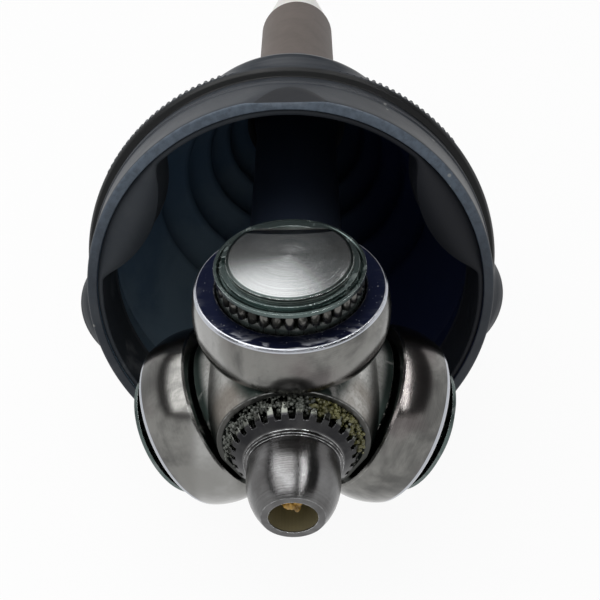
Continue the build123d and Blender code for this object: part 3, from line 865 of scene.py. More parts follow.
def cap_plastic(look):
    """White cap with a waxy surface."""
    nodes = Surface("cap_plastic", IOR=1.48, Subsurface_Weight=0.15, Subsurface_Scale=0.004)
    cloud = nodes.cloud(70.0, 4.0, 0.5)
    base = nodes.mix(nodes.ramp(cloud, 0.3, 0.8, 0.0, 0.5), look.cap, Tint.cap_cloud)
    scuff = nodes.smears(60.0, 0.3, (1.0, 5.0, 1.0))
    nodes.finish(Base_Color=nodes.over(base, scuff, 0.4, Tint.cap_scuff),
                 Roughness=nodes.ramp(cloud, 0.3, 0.8, 0.30, 0.45),
                 Normal=nodes.bump(cloud, 0.15, 0.1 * MM))


def grease_finish(name, base):
    """Glossy grease with darker streaks."""
    nodes = Surface(name, IOR=1.47)
    cloud = nodes.cloud(500.0, 4.0, 0.6, 0.4)
    streak = tuple(part * 0.35 for part in base)
    nodes.finish(Base_Color=nodes.mix(nodes.ramp(cloud, 0.35, 0.7), base, streak),
                 Roughness=nodes.ramp(cloud, 0.3, 0.7, 0.18, 0.38),
                 Normal=nodes.bump(cloud, 0.4, 0.1 * MM))


def make_materials(settings):
    """Build every material of the joint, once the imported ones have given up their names."""
    for packed in bpy.data.materials:
        packed.name = "packed_" + packed.name
    for build in (build_edge_wear_and_highlight, build_fine_lines, build_smears, build_specks,
                  build_trunnion_place, build_grain):
        build()
    for finish in (roller_steel, spider_steel, shaft_steel, spring_steel, band_steel):
        finish(settings.steel)
    needle_steel()
    for finish in (boot_rubber, boot_inside, insert_rubber, cap_plastic):
        finish(settings.soft)
    for kind in ("grey", "dark", "olive", "amber"):
        grease_finish(f"grease_{kind}", tuple(getattr(settings.grease, kind)))


def paint(node_name, material_name):
    """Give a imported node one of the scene's materials."""
    for slot in frame["nodes"][node_name].material_slots:
        slot.material = bpy.data.materials[material_name]


def add_object(name, mesh, material_name):
    """Link a finished mesh as an object with its material."""
    # materials.clear() would also forget which faces take a second material
    while mesh.materials:
        mesh.materials.pop()
    mesh.materials.append(bpy.data.materials[material_name])
    piece = bpy.data.objects.new(name, mesh)
    bpy.context.scene.collection.objects.link(piece)
    return piece


def closed_skin(name, loops, material_name, inner_rows=(), inner_material=None):
    """Smooth mesh from closed loops of points that themselves form a closed ring.

    The faces that start on an inner row take a second material.
    """
    count, steps = len(loops), len(loops[0])
    work = bmesh.new()
    points = [[work.verts.new(point) for point in loop] for loop in loops]
    for row in range(count):
        after = (row + 1) % count
        for step in range(steps):
            beside = (step + 1) % steps
            face = work.faces.new((points[row][step], points[row][beside],
                                   points[after][beside], points[after][step]))
            face.material_index = 1 if row in inner_rows else 0
    bmesh.ops.recalc_face_normals(work, faces=work.faces)
    mesh = bpy.data.meshes.new(name)
    work.to_mesh(mesh)
    work.free()
    mesh.shade_smooth()
    piece = add_object(name, mesh, material_name)
    if inner_material:
        mesh.materials.append(bpy.data.materials[inner_material])
    return piece


def turns(steps):
    """Equal turns once round, in radians."""
    return [2 * math.pi * step / steps for step in range(steps)]


# Largest share of a side that the curve at one corner may take
LARGEST_CUT = 0.45


def softened(corners, rounds):
    """A closed outline whose corners are cut by short curves.

    Each corner is (station, radius, cut), and cut is how far the curve reaches to each side.
    """
    outline = []
    for index, (station, radius, cut) in enumerate(corners):
        corner = Vector((station, radius))
        before = Vector(corners[index - 1][:2])
        after = Vector(corners[(index + 1) % len(corners)][:2])
        reach_back = min(cut, (before - corner).length * LARGEST_CUT)
        reach_on = min(cut, (after - corner).length * LARGEST_CUT)
        first = corner + (before - corner).normalized() * reach_back
        last = corner + (after - corner).normalized() * reach_on
        for step in range(rounds + 1):
            t = step / rounds
            outline.append(first * (1 - t) ** 2 + corner * 2 * t * (1 - t) + last * t ** 2)
    return outline


def filled_in(outline, longest):
    """The outline with points added so that no stretch is longer than a length."""
    dense = []
    for index, point in enumerate(outline):
        after = outline[(index + 1) % len(outline)]
        parts = max(1, math.ceil((after - point).length / longest))
        dense += [point.lerp(after, part / parts) for part in range(parts)]
    return dense


def in_mouth(station, radius, turn):
    """Point of the tilted mouth, from its station, radius and angle in radians."""
    across = RIGHT * math.cos(turn) + UPWARD * math.sin(turn)
    return MOUTH - FORWARD * station + across * radius


def smooth_step(value, low, high):
    """0 below low and 1 above high, smooth between."""
    t = min(1.0, max(0.0, (value - low) / (high - low)))
    return t * t * (3 - 2 * t)


# Swellings of the collar: (angle in degrees, reach, radius), lengths in millimetres
SWELLINGS = [(88, 47.5, 26.0), (197, 51.2, 16.0), (345, 50.0, 16.0)]


def fill_swellings(row):
    """Put the three swellings into the settings."""
    row.shapes.clear()
    for middle, reach, radius in SWELLINGS:
        shape = row.shapes.add()
        shape.middle = math.radians(middle)
        shape.reach = reach * MM
        shape.radius = radius * MM


def swelling_radius(row, turn):
    """How far the swellings reach at this angle, or 0 between them."""
    best = 0.0
    for shape in row.shapes:
        centre = shape.reach - shape.radius
        off = turn - shape.middle
        across = centre * math.sin(off)
        if abs(across) < shape.radius and math.cos(off) > 0:
            best = max(best, centre * math.cos(off) + math.sqrt(shape.radius ** 2 - across ** 2))
    return best


# Play between two skins, which is also the tolerance when a radius is tested
PLAY = 0.05 * MM

# The outside of the collar begins this far over its bore
OUTSIDE_OVER_BORE = 0.3 * MM

# The flat on the lip: how far round it can reach, as a sine, and its rise at the back
FLAT_SINE = 0.9
FLAT_RISE = 0.6 * MM

# Width of the lip's inner edge, which keeps the rubber of the outside
INNER_EDGE = 0.4 * MM

# Longest step along the collar's section
SECTION_STEP = 1.3 * MM


def back_bore(collar):
    """Radius inside the back of the collar, and a little play."""
    return collar.end / 2 - collar.wall + PLAY


def collar_radius(settings, station, radius, turn):
    """Radius of the collar's skin: its outside takes the swellings and the flat on the lip."""
    collar, swelling = settings.collar, settings.swelling
    if radius <= collar.bore / 2 + OUTSIDE_OVER_BORE:
        return radius
    if radius > back_bore(collar):
        rise = max(0.0, swelling_radius(swelling, turn) - radius)
        start = smooth_step(station, swelling.start, swelling.top_start)
        stop = 1 - smooth_step(station, swelling.top_end, swelling.end)
        radius += rise * start * stop
    if station < collar.flat_length and math.sin(turn) > FLAT_SINE:
        share = station / collar.flat_length
        height = collar.lip / 2 - collar.flat_depth * (1 - share) + FLAT_RISE * share
        radius = min(radius, height / math.sin(turn))
    return radius


def collar_outline(sizes):
    """Cross-section of the collar, once round from the inner front edge.

    Each corner is (station, radius, cut).
    """
    end = sizes.end / 2
    return [
        (0.0, sizes.bore / 2, 0.25 * MM),
        (0.0, sizes.lip / 2, 0.6 * MM),
        (sizes.seat_station, sizes.seat_foot / 2, 0.15 * MM),
        (sizes.seat_station + 0.25 * MM, sizes.seat / 2, 0.15 * MM),
        (sizes.seat_end, sizes.seat / 2, 0.3 * MM),
        (sizes.seat_end + 0.2 * MM, sizes.ridge_foot / 2, 0.3 * MM),
        (sizes.ridge_start, sizes.ridge / 2, 0.5 * MM),
        (sizes.ridge_end, sizes.ridge_back / 2, 0.9 * MM),
        (sizes.depth, end, 0.1 * MM),
        (sizes.depth, end - sizes.wall, 0.1 * MM),
        (sizes.ridge_start + sizes.wall, end - sizes.wall, 1.0 * MM),
        (sizes.seat_end, sizes.bore / 2, 1.0 * MM),
    ]


def collar_mesh(settings):
    """The collar as one closed skin, detailed around its outside."""
    collar = settings.collar
    outline = filled_in(softened(collar_outline(collar), 4), SECTION_STEP)
    loops = [[in_mouth(station, collar_radius(settings, station, radius, turn), turn)
              for turn in turns(collar.steps)] for station, radius in outline]
    inner = [row for row, (station, radius) in enumerate(outline)
             if radius < back_bore(collar) and station > INNER_EDGE]
    return closed_skin("collar_rubber", loops, "boot_rubber", inner, "boot_inside")


def pad_radius(sizes, turn):
    """Radius of the opening in the insert: the lobes, with three pads blended in."""
    centre = sizes.pad_reach + sizes.pad_radius
    radius = sizes.lobe / 2
    for middle in (sizes.pad_right, sizes.pad_left, sizes.pad_low):
        across = centre * math.sin(turn - middle)
        if abs(across) >= sizes.pad_radius or math.cos(turn - middle) <= 0:
            continue
        reach = centre * math.cos(turn - middle) - math.sqrt(sizes.pad_radius ** 2 - across ** 2)
        blend = max(sizes.softness - abs(radius - reach), 0.0) / sizes.softness
        radius = min(radius, reach) - blend * blend * sizes.softness / 4
    return radius


# The opening of the insert swells at its edges, most at the back one: height, distance
# between two tops of the wave, and how narrow a top is, as a power of a sine
SWELL_HEIGHT = 0.35 * MM
SWELL_PITCH = 3.0 * MM
SWELL_POWER = 8


def insert_radius(sizes, outer, station, share, turn):
    """Radius of the insert's skin, where share goes from 0 at its opening to 1 outside."""
    inner = pad_radius(sizes, turn)
    swell = 0.0
    if share < 0.01:
        wave = math.sin(math.pi * (station - sizes.recess) / SWELL_PITCH)
        swell = SWELL_HEIGHT * wave ** SWELL_POWER
    return inner - swell + share * (outer - inner)


def insert_mesh(settings):
    """Ring with three pads, from an outline of (station, share of the wall, cut)."""
    sizes, collar = settings.insert, settings.collar
    outer = collar.bore / 2 - PLAY
    back = sizes.recess + sizes.depth
    corners = [(sizes.recess, 1.0, 0.3 * MM), (sizes.recess, 0.0, sizes.edge),
               (back, 0.0, sizes.edge), (back, 1.0, 0.3 * MM)]
    outline = filled_in(softened(corners, 5), 0.5)
    loops = [[in_mouth(station, insert_radius(sizes, outer, station, share, turn), turn)
              for turn in turns(collar.steps)] for station, share in outline]
    return closed_skin("insert_rubber_ring", loops, "insert_rubber")


class TRIPOD_OT_collar(bpy.types.Operator):
    """Model the mouth collar of the boot"""

    bl_idname = "tripod.collar"
    bl_label = "Boot collar"

    def execute(self, context):
        piece = collar_mesh(context.scene.tripod_joint)
        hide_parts("boot_collar")
        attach(piece, "boot_mouth")
        return {"FINISHED"}


class TRIPOD_OT_insert(bpy.types.Operator):
    """Model the ring with three pads in the mouth"""

    bl_idname = "tripod.insert"
    bl_label = "Lobed insert"

    def execute(self, context):
        piece = insert_mesh(context.scene.tripod_joint)
        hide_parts("lobe_insert")
        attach(piece, "boot_mouth")
        return {"FINISHED"}


# Valleys of the bellows: (station on the shaft, diameter), and the diameters of the folds
# between them, in millimetres
VALLEYS = [(60.0, 70.0), (71.0, 58.0), (81.0, 48.0), (90.0, 39.0), (98.0, 30.5)]
FOLDS = [69.0, 59.0, 50.5, 42.0]

# Rows along the sleeve and along each fold, and how far the sleeve swells and sinks
SLEEVE_ROWS = 16
FOLD_ROWS = 12
SLEEVE_BELLY = 0.6 * MM

# How full a fold is: a lower power of the sine is fuller
FOLD_POWER = 0.85


def sleeve_rings(settings, shrink):
    """Rings from the tilted collar to the first valley: (centre, up direction, radius)."""
    collar = settings.collar
    station, diameter = VALLEYS[0]
    start = MOUTH - FORWARD * collar.depth
    end = Vector((0, station * MM, 0))
    first = collar.end / 2 - shrink * collar.wall
    last = diameter * MM / 2 - shrink * settings.bellows.wall
    rings = []
    for index in range(SLEEVE_ROWS + 1):
        t = index / SLEEVE_ROWS
        up = UPWARD.lerp(SHAFT_UP, smooth_step(t, 0.0, 1.0)).normalized()
        belly = SLEEVE_BELLY * math.sin(2 * math.pi * t) * (1 - shrink)
        rings.append((start.lerp(end, t), up, first + (last - first) * t + belly))
    return rings


def fold_rings(settings, shrink):
    """Rings of the folds, between one valley and the next."""
    inset = shrink * settings.bellows.wall
    rings = []
    for (station, low), high, (after, next_low) in zip(VALLEYS, FOLDS, VALLEYS[1:]):
        rise = high - (low + next_low) / 2
        for index in range(1, FOLD_ROWS + 1):
            t = index / FOLD_ROWS
            base = low + (next_low - low) * t
            diameter = (base + rise * math.sin(math.pi * t) ** FOLD_POWER) * MM
            y = (station + (after - station) * t) * MM
            rings.append((Vector((0, y, 0)), SHAFT_UP, diameter / 2 - inset))
    return rings


def cuff_rings(sizes):
    """Rings of the cuff, outside and then back along the bar."""
    start, end = sizes.cuff_station, sizes.cuff_station + sizes.cuff_length
    outer, bar = sizes.cuff / 2, sizes.bar / 2 + 0.02 * MM
    corners = [(start, outer), (start + 1.0 * MM, outer), (end - 0.6 * MM, outer),
               (end, outer - 0.6 * MM), (end, bar), (start, bar)]
    return [(Vector((0, y, 0)), SHAFT_UP, radius) for y, radius in corners]


def bellows_mesh(settings):
    """The folded part of the boot as one closed skin, outside and inside."""
    sizes = settings.bellows
    outside = sleeve_rings(settings, 0) + fold_rings(settings, 0) + cuff_rings(sizes)
    inside = sleeve_rings(settings, 1) + fold_rings(settings, 1)
    loops = [[centre + (RIGHT * math.cos(turn) + up * math.sin(turn)) * radius
              for turn in turns(sizes.steps)] for centre, up, radius in outside + inside[::-1]]
    inner = range(len(outside), len(loops))
    return closed_skin("bellows_rubber", loops, "boot_rubber", inner, "boot_inside")


class TRIPOD_OT_bellows(bpy.types.Operator):
    """Model the folds of the boot and its cuff"""

    bl_idname = "tripod.bellows"
    bl_label = "Boot bellows"

    def execute(self, context):
        settings = context.scene.tripod_joint
        piece = bellows_mesh(settings)
        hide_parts("boot_bellows")
        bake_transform(piece)
        return {"FINISHED"}


def evaluated_piece(name, tree, values, material_name):
    """Run a geometry tree with these inputs and keep the result as a plain mesh object."""
    holder = bpy.data.objects.new(name + "_holder", bpy.data.meshes.new(name + "_holder"))
    bpy.context.scene.collection.objects.link(holder)
    modifier = holder.modifiers.new("Shape", "NODES")
    modifier.node_group = tree
    sockets = {item.name: item.identifier for item in tree.interface.items_tree
               if item.item_type == "SOCKET" and item.in_out == "INPUT"}
    for label, value in values.items():
        modifier[sockets[label]] = value
    modifier[sockets["Material"]] = bpy.data.materials[material_name]
    graph = bpy.context.evaluated_depsgraph_get()
    mesh = bpy.data.meshes.new_from_object(holder.evaluated_get(graph))
    holder.modifiers.clear()
    bpy.data.objects.remove(holder)
    mesh.name = name
    return add_object(name, mesh, material_name)


# Rows along a needle, how closely they stand near its ends, and how full the ends are
NEEDLE_ROWS = 12
END_PACKING = 3.0
END_FULLNESS = 11.0


def round_needle(shape):
    """One needle about Z, with both ends rounded."""
    body = shape.output("GeometryNodeMeshCylinder",
                        {"Vertices": shape.start["Sides"], "Side Segments": NEEDLE_ROWS,
                         "Radius": shape.start["Needle radius"],
                         "Depth": shape.start["Needle length"]}, fill_type="NONE")
    x, y, z = shape.split(shape.output("GeometryNodeInputPosition"))
    half = shape.maths("DIVIDE", shape.start["Needle length"], 2.0)
    share = shape.maths("DIVIDE", z, half)
    left = shape.minus(1.0, shape.maths("ABSOLUTE", share), clamp=True)
    packed = shape.minus(1.0, shape.maths("POWER", left, END_PACKING))
    bulge = shape.minus(1.0, shape.maths("POWER", packed, END_FULLNESS), clamp=True)
    width = shape.maths("SQRT", bulge)
    height = shape.times(shape.times(shape.maths("SIGN", share), packed), half)
    moved = shape.vector(shape.times(x, width), shape.times(y, width), height)
    shaped = shape.output("GeometryNodeSetPosition", {"Geometry": body, "Position": moved})
    return shape.smooth(shape.output("GeometryNodeMergeByDistance",
                                     {"Geometry": shaped, "Distance": 0.001 * MM}))


def needle_tree():
    """Geometry tree: a full ring of needles about a trunnion."""
    shape = Shape("Needle ring", ("Needle radius", "Needle length", "Pitch radius",
                                  "Middle height", "Trunnion turn", "Count", "Sides"))
    circle = shape.output("GeometryNodeMeshCircle", {"Vertices": shape.start["Count"],
                                                     "Radius": shape.start["Pitch radius"]})
    needles = shape.on_points(circle, round_needle(shape))
    lift = shape.vector(0.0, 0.0, shape.start["Middle height"])
    turn = shape.vector(0.0, shape.start["Trunnion turn"], 0.0)
    return shape.finish(shape.placed(shape.placed(needles, Translation=lift), Rotation=turn))


class TRIPOD_OT_needles(bpy.types.Operator):
    """Fill the three needle sets"""

    bl_idname = "tripod.needles"
    bl_label = "Needles"

    def execute(self, context):
        sizes = context.scene.tripod_joint.needle
        low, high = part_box("needles_1")
        tree = needle_tree()
        for number, degrees in TRUNNION_ANGLES.items():
            values = {
                "Needle radius": sizes.diameter / 2,
                "Needle length": high.z - low.z,
                "Pitch radius": high.x - sizes.diameter / 2,
                "Middle height": (low.z + high.z) / 2,
                "Trunnion turn": math.radians(90 - degrees),
                "Count": sizes.count,
                "Sides": sizes.sides,
            }
            piece = evaluated_piece(f"needle_ring_{number}", tree, values, "needle_steel")
            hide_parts(f"needles_{number}")
            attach(piece, f"needle_set_{number}")
        return {"FINISHED"}


# Faces around a rib, and the share of its radius that lies under the ridge
RIB_SIDES = 10
RIB_SUNK = 0.9


def rib_tree():
    """Geometry tree: a row of half-round ribs along an arc of the ridge."""
    shape = Shape("Rib row", ("Radius", "From", "Sweep", "Rib radius", "Rib length", "Station",
                              "Tilt", "Mouth", "Count"))
    start = shape.start
    index = shape.output("GeometryNodeInputIndex")
    share = shape.maths("DIVIDE", index, shape.minus(start["Count"], 1.0))
    turn = shape.maths("MULTIPLY_ADD", share, start["Sweep"], start["From"])
    place = shape.vector(shape.times(shape.maths("COSINE", turn), start["Radius"]),
                         shape.times(shape.maths("SINE", turn), start["Radius"]),
                         shape.times(start["Station"], -1.0))
    points = shape.output("GeometryNodePoints", {"Count": start["Count"], "Position": place})
    rib = shape.output("GeometryNodeMeshCylinder",
                       {"Vertices": RIB_SIDES, "Radius": start["Rib radius"],
                        "Depth": start["Rib length"]})
    tilt = shape.vector(start["Tilt"], 0.0, 0.0)
    return shape.finish(shape.placed(shape.on_points(points, rib), Rotation=tilt,
                                     Translation=start["Mouth"]))


class TRIPOD_OT_ribs(bpy.types.Operator):
    """Add the rows of grip ribs on the ridge"""

    bl_idname = "tripod.ribs"
    bl_label = "Ridge ribs"

    def execute(self, context):
        settings = context.scene.tripod_joint
        sizes, collar = settings.rib, settings.collar
        tree = rib_tree()
        rows = {"left": (sizes.left_from, sizes.left_to),
                "right": (sizes.right_from, sizes.right_to)}
        for side, (first, last) in rows.items():
            values = {
                "Radius": collar.ridge / 2 - sizes.radius * RIB_SUNK,
                "From": first,
                "Sweep": last - first,
                "Rib radius": sizes.radius,
                "Rib length": sizes.run,
                "Station": collar.ridge_start + sizes.run / 2,
                "Tilt": math.atan2(UPWARD.z, UPWARD.y),
                "Mouth": tuple(MOUTH),
                "Count": round((last - first) * collar.ridge / 2 / sizes.pitch),
            }
            piece = evaluated_piece(f"grip_ribs_{side}", tree, values, "boot_rubber")
            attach(piece, "boot_mouth")
        return {"FINISHED"}


# Size of a voxel as a share of a lump, and the density where the skin is drawn
VOXEL_SHARE = 0.36
SKIN_DENSITY = 0.1


def grease_tree():
    """Geometry tree: lumps of grease that flow together around the shaft."""
    shape = Shape("Grease", ("Radius", "Width", "Station", "Depth", "From", "Sweep", "Lump",
                             "Count", "Seed"))
    start = shape.start

    def chance(shift):
        """A random value from 0 to 1 for each lump, with a seed of its own."""
        seed = shape.maths("ADD", start["Seed"], float(shift))
        return shape.add("FunctionNodeRandomValue", {"Seed": seed}).outputs[1]

    turn = shape.maths("MULTIPLY_ADD", chance(1), start["Sweep"], start["From"])
    radius = shape.maths("MULTIPLY_ADD", chance(2), start["Width"], start["Radius"])
    station = shape.maths("MULTIPLY_ADD", chance(3), start["Depth"], start["Station"])
    place = shape.vector(shape.times(shape.maths("COSINE", turn), radius), station,
                         shape.times(shape.maths("SINE", turn), radius))
    lump = shape.times(start["Lump"], shape.maths("ADD", chance(4), 0.5))
    points = shape.output("GeometryNodePoints", {"Count": start["Count"], "Position": place,
                                                 "Radius": lump})
    body = shape.output("GeometryNodePointsToVolume",
                        {"Points": points, "Radius": lump,
                         "Voxel Size": shape.times(start["Lump"], VOXEL_SHARE)},
                        resolution_mode="VOXEL_SIZE")
    skin = shape.output("GeometryNodeVolumeToMesh", {"Volume": body,
                                                     "Threshold": SKIN_DENSITY})
    return shape.finish(shape.smooth(skin))


# Grease by place: name, material, radius, width, station, depth (mm), from, sweep (degrees),
# lump size (mm), number of lumps, seed
GREASE_PLACES = [
    ("grease_spline_left", "grease_grey", 10.4, 2.2, -17.8, 2.4, 70, 120, 0.25, 620, 3),
    ("grease_spline_right", "grease_olive", 10.4, 2.3, -17.8, 2.3, -5, 80, 0.27, 520, 8),
    ("grease_spline_low", "grease_grey", 10.9, 1.2, -17.6, 1.2, 190, 160, 0.15, 200, 5),
    ("grease_nose", "grease_amber", 1.2, 2.6, -31.2, 2.8, 58, 66, 0.42, 70, 4),
]


# Section of the grease at the needles: radius, height over the roller's face, in mm
NEEDLE_GREASE = [(12.15, -0.6), (13.10, -0.6), (13.10, 0.75), (12.97, 1.05), (12.65, 1.25),
                 (12.15, 1.30)]

# Its height varies as a share: the least, slow waves, and one scallop at each needle
LEAST_HEIGHT = 0.85
WAVE = 0.22
WAVES_ROUND = 9
SCALLOP = 0.18
NEEDLES_ROUND = 36

# How far the grease draws back between two needles, in mm
SCALLOP_DEPTH = 0.22


def needle_grease_mesh(number):
    """Uneven ring of grease round the feet of one set of needles."""
    along = trunnion_axis(number)
    side = Vector((-along.z, 0, along.x))
    back = Vector((0, 1, 0))
    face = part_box("roller_1")[1].z
    loops = []
    for radius, height in NEEDLE_GREASE:
        loop = []
        for turn in turns(12 * NEEDLES_ROUND):
            wave = WAVE * math.sin(WAVES_ROUND * turn + 2 * math.sin(4 * turn + number))
            scallop = 0.5 + 0.5 * math.cos(NEEDLES_ROUND * turn)
            rise, inward = height, 0.0
            if height > 0:
                rise = height * (LEAST_HEIGHT + wave + SCALLOP * scallop)
                inward = SCALLOP_DEPTH * (1 - scallop)
            out = side * math.cos(turn) + back * math.sin(turn)
            loop.append(along * (face + rise * MM) + out * (radius - inward) * MM)
        loops.append(loop)
    return closed_skin(f"grease_needles_{number}", loops, "grease_dark")


class TRIPOD_OT_grease(bpy.types.Operator):
    """Add the grease on the splines, in the nose and at the needles"""

    bl_idname = "tripod.grease"
    bl_label = "Grease"

    def execute(self, context):
        tree = grease_tree()
        for (name, material_name, radius, width, station, depth, first, sweep, lump, count,
             seed) in GREASE_PLACES:
            values = {
                "Radius": radius * MM,
                "Width": width * MM,
                "Station": station * MM,
                "Depth": depth * MM,
                "From": math.radians(first),
                "Sweep": math.radians(sweep),
                "Lump": lump * MM,
                "Count": count,
                "Seed": seed,
            }
            piece = evaluated_piece(name, tree, values, material_name)
            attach(piece, "shaft")
        for number in TRUNNION_ANGLES:
            ring = needle_grease_mesh(number)
            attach(ring, f"needle_set_{number}")
        return {"FINISHED"}


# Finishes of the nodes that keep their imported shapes, and of those at each trunnion
FINISHES = {"axle_shaft": "shaft_steel", "spider": "spider_steel",
            "shaft_circlip": "spring_steel", "rear_stop_ring": "spring_steel",
            "small_end_clamp": "band_steel", "end_cap": "cap_plastic"}
TRUNNION_FINISHES = {"roller": "roller_steel", "needle_retainer": "spring_steel",
                     "trunnion_circlip": "spring_steel"}


class TRIPOD_OT_steel(bpy.types.Operator):
    """Finish the steel parts and the cap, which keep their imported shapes"""

    bl_idname = "tripod.steel"
    bl_label = "Steel and cap"

    def execute(self, context):
        for node_name, finish in FINISHES.items():
            paint(node_name, finish)
        for number in TRUNNION_ANGLES:
            for kind, finish in TRUNNION_FINISHES.items():
                paint(f"{kind}_{number}", finish)
        return {"FINISHED"}


def camera_matrix():
    """Place and turn of the camera, from its heading, pitch and roll."""
    heading, pitch, roll = CAMERA_HEADING, CAMERA_PITCH, CAMERA_ROLL
    ahead = Vector((math.sin(heading) * math.cos(pitch), math.cos(heading) * math.cos(pitch),
                    -math.sin(pitch)))
    side = Vector((math.cos(heading), -math.sin(heading), 0))
    top = side.cross(ahead)
    right = side * math.cos(roll) + top * math.sin(roll)
    up = top * math.cos(roll) - side * math.sin(roll)
    turned = Matrix((right, up, -ahead)).transposed().to_4x4()
    return Matrix.Translation(CAMERA_PLACE) @ turned


WHITE = (1, 1, 1, 1)


def seen_directly(nodes):
    """1 for camera, glossy and transmission rays, which see the pale background."""
    path = nodes.add("ShaderNodeLightPath").outputs
    seen = nodes.maths("MAXIMUM", path["Is Camera Ray"], path["Is Glossy Ray"])
    return nodes.maths("MAXIMUM", seen, path["Is Transmission Ray"])


def stage_world(look):
    """White all round, with a plain level of light."""
    world = bpy.data.worlds.new("studio")
    bpy.context.scene.world = world
    world.use_nodes = True
    nodes = Nodes(world.node_tree)
    background = world.node_tree.nodes["Background"].inputs
    background["Color"].default_value = WHITE
    strength = nodes.between(seen_directly(nodes), look.ambient, 1.0)
    world.node_tree.links.new(strength, background["Strength"])


def level_plane(name, xs, ys, height):
    """Level rectangle with a material of its own, and the nodes of that material.

    It faces down where x is given from left to right, and up from right to left.
    """
    mesh = bpy.data.meshes.new(name)
    corners = [(xs[0], ys[0], height), (xs[1], ys[0], height), (xs[1], ys[1], height),
               (xs[0], ys[1], height)]
    mesh.from_pydata(corners, [], [(3, 2, 1, 0)])
    material = bpy.data.materials.new(name)
    material.use_nodes = True
    material.node_tree.nodes.remove(material.node_tree.nodes["Principled BSDF"])
    mesh.materials.append(material)
    plane = bpy.data.objects.new(name, mesh)
    bpy.context.scene.collection.objects.link(plane)
    return plane, Nodes(material.node_tree)


def shade(nodes, shader):
    """Link a shader to the output of its material."""
    nodes.tree.links.new(shader, nodes.tree.nodes["Material Output"].inputs["Surface"])


# The floor: half its side, and how far it lies under the joint, in metres
FLOOR_HALF = 3.0
FLOOR_GAP = 0.2 * MM


def stage_floor(look):
    """Pale floor under the lowest point, which keeps the object's shadow."""
    height = CAD_BOX[0][2] - FLOOR_GAP
    floor, nodes = level_plane("floor", (FLOOR_HALF, -FLOOR_HALF), (-FLOOR_HALF, FLOOR_HALF),
                               height)
    matte = nodes.output("ShaderNodeBsdfDiffuse", {"Color": (0.9, 0.9, 0.9, 1)})
    white = nodes.output("ShaderNodeEmission", {"Color": WHITE, "Strength": 1.0})
    share = nodes.times(seen_directly(nodes), 1 - look.floor_shadow)
    shade(nodes, nodes.output("ShaderNodeMixShader", {0: share, 1: matte, 2: white}))


# Brightness of the far end of a card
FADED = 0.05


def reflected_card(name, xs, ys, height, brightness, fade):
    """Level card that only reflections show; its far end fades out over a length."""
    card, nodes = level_plane(name, xs, ys, height)
    back = nodes.split(nodes.object_place())[1]
    strength = nodes.ramp(back, ys[1] - fade, ys[1], brightness, FADED)
    shade(nodes, nodes.output("ShaderNodeEmission", {"Color": WHITE, "Strength": strength}))
    for kind in ("camera", "diffuse", "shadow", "transmission", "volume_scatter"):
        setattr(card, "visible_" + kind, False)


def add_lamp(name, place, width, depth, brightness):
    """A soft oblong lamp that points at the joint and isn't seen in it."""
    lamp = bpy.data.lights.new(name, "AREA")
    lamp.shape = "RECTANGLE"
    lamp.size = width
    lamp.size_y = depth
    lamp.energy = brightness * math.pi * width * depth
    holder = bpy.data.objects.new(name, lamp)
    holder.location = place
    holder.rotation_euler = (-Vector(place)).to_track_quat("-Z", "Y").to_euler()
    holder.visible_camera = False
    holder.visible_glossy = False
    bpy.context.scene.collection.objects.link(holder)


# Cards that only reflections show: name, x from and to, y from and to, height in metres,
# brightness, length over which the far end fades
CARDS = [
    ("dark_ceiling", (-1.4, 1.4), (-0.75, 2.2), 0.72, 0.05, 0.2),
    ("wide_card", (-0.60, 0.05), (-0.42, 0.68), 0.58, 3.4, 0.26),
    ("narrow_card", (0.250, 0.295), (-0.42, 0.55), 0.58, 18.0, 0.1),
]

# Lamps: name, place, width and depth in metres, brightness
LAMPS = [
    ("overhead", (-0.24, 0.05, 0.58), 0.72, 1.00, 1.0),
    ("front_left", (-0.55, -0.35, 0.25), 0.30, 0.30, 0.9),
]


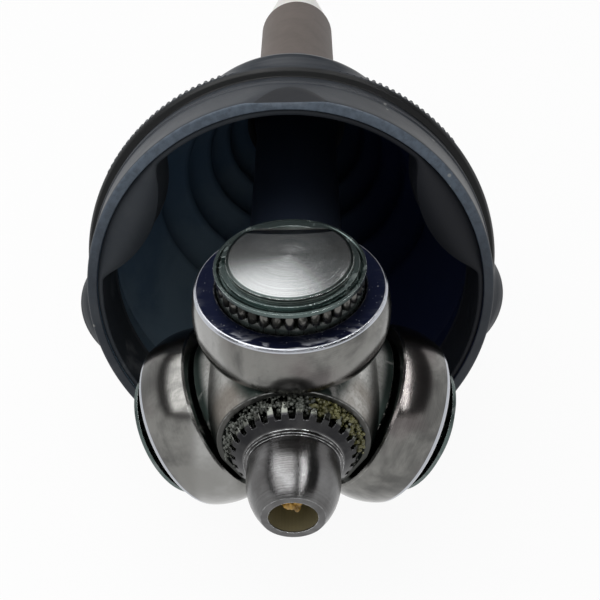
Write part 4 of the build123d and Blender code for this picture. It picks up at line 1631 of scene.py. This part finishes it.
class TRIPOD_OT_stage(bpy.types.Operator):
    """Set up the camera, the lamps, the floor and the background"""

    bl_idname = "tripod.stage"
    bl_label = "Stage"

    def execute(self, context):
        scene = context.scene
        look = scene.tripod_joint.stage
        scene.view_settings.view_transform = "Standard"
        lens = bpy.data.cameras.new("camera")
        lens.sensor_fit = "HORIZONTAL"
        lens.sensor_width = SENSOR_WIDTH
        lens.lens = CAMERA_LENS
        lens.clip_start = 0.01
        camera = bpy.data.objects.new("camera", lens)
        camera.matrix_world = camera_matrix()
        scene.collection.objects.link(camera)
        scene.camera = camera
        stage_world(look)
        stage_floor(look)
        for card in CARDS:
            reflected_card(*card)
        for lamp in LAMPS:
            add_lamp(*lamp)
        return {"FINISHED"}


class TRIPOD_PT_panel(bpy.types.Panel):
    """Lists the steps that dress the joint"""

    bl_idname = "TRIPOD_PT_panel"
    bl_label = "Tripod joint"
    bl_space_type = "VIEW_3D"
    bl_region_type = "UI"
    bl_category = "Tripod joint"

    def draw(self, context):
        for operator in OPERATORS:
            self.layout.operator(operator.bl_idname)


OPERATORS = (TRIPOD_OT_stage, TRIPOD_OT_steel, TRIPOD_OT_needles, TRIPOD_OT_grease,
             TRIPOD_OT_collar, TRIPOD_OT_insert, TRIPOD_OT_ribs, TRIPOD_OT_bellows)
GROUPS = (CollarSizes, SwellingSizes, SwellingRow, InsertSizes, BellowsSizes, NeedleSizes,
          RibSizes, GreaseLook, SteelLook, SoftLook, StageLook, TripodSettings)


def register():
    """Register the settings, the operators and the panel."""
    for item in GROUPS + OPERATORS + (TRIPOD_PT_panel,):
        bpy.utils.register_class(item)
    bpy.types.Scene.tripod_joint = bpy.props.PointerProperty(type=TripodSettings)


def unregister():
    """Remove what register added."""
    del bpy.types.Scene.tripod_joint
    for item in reversed(GROUPS + OPERATORS + (TRIPOD_PT_panel,)):
        bpy.utils.unregister_class(item)


def main():
    """Dress the joint."""
    register()
    fill_swellings(bpy.context.scene.tripod_joint.swelling)
    make_materials(bpy.context.scene.tripod_joint)
    bpy.ops.tripod.stage()
    bpy.ops.tripod.steel()
    bpy.ops.tripod.needles()
    bpy.ops.tripod.grease()
    bpy.ops.tripod.collar()
    bpy.ops.tripod.insert()
    bpy.ops.tripod.ribs()
    bpy.ops.tripod.bellows()


if __name__ == "__main__":
    main()
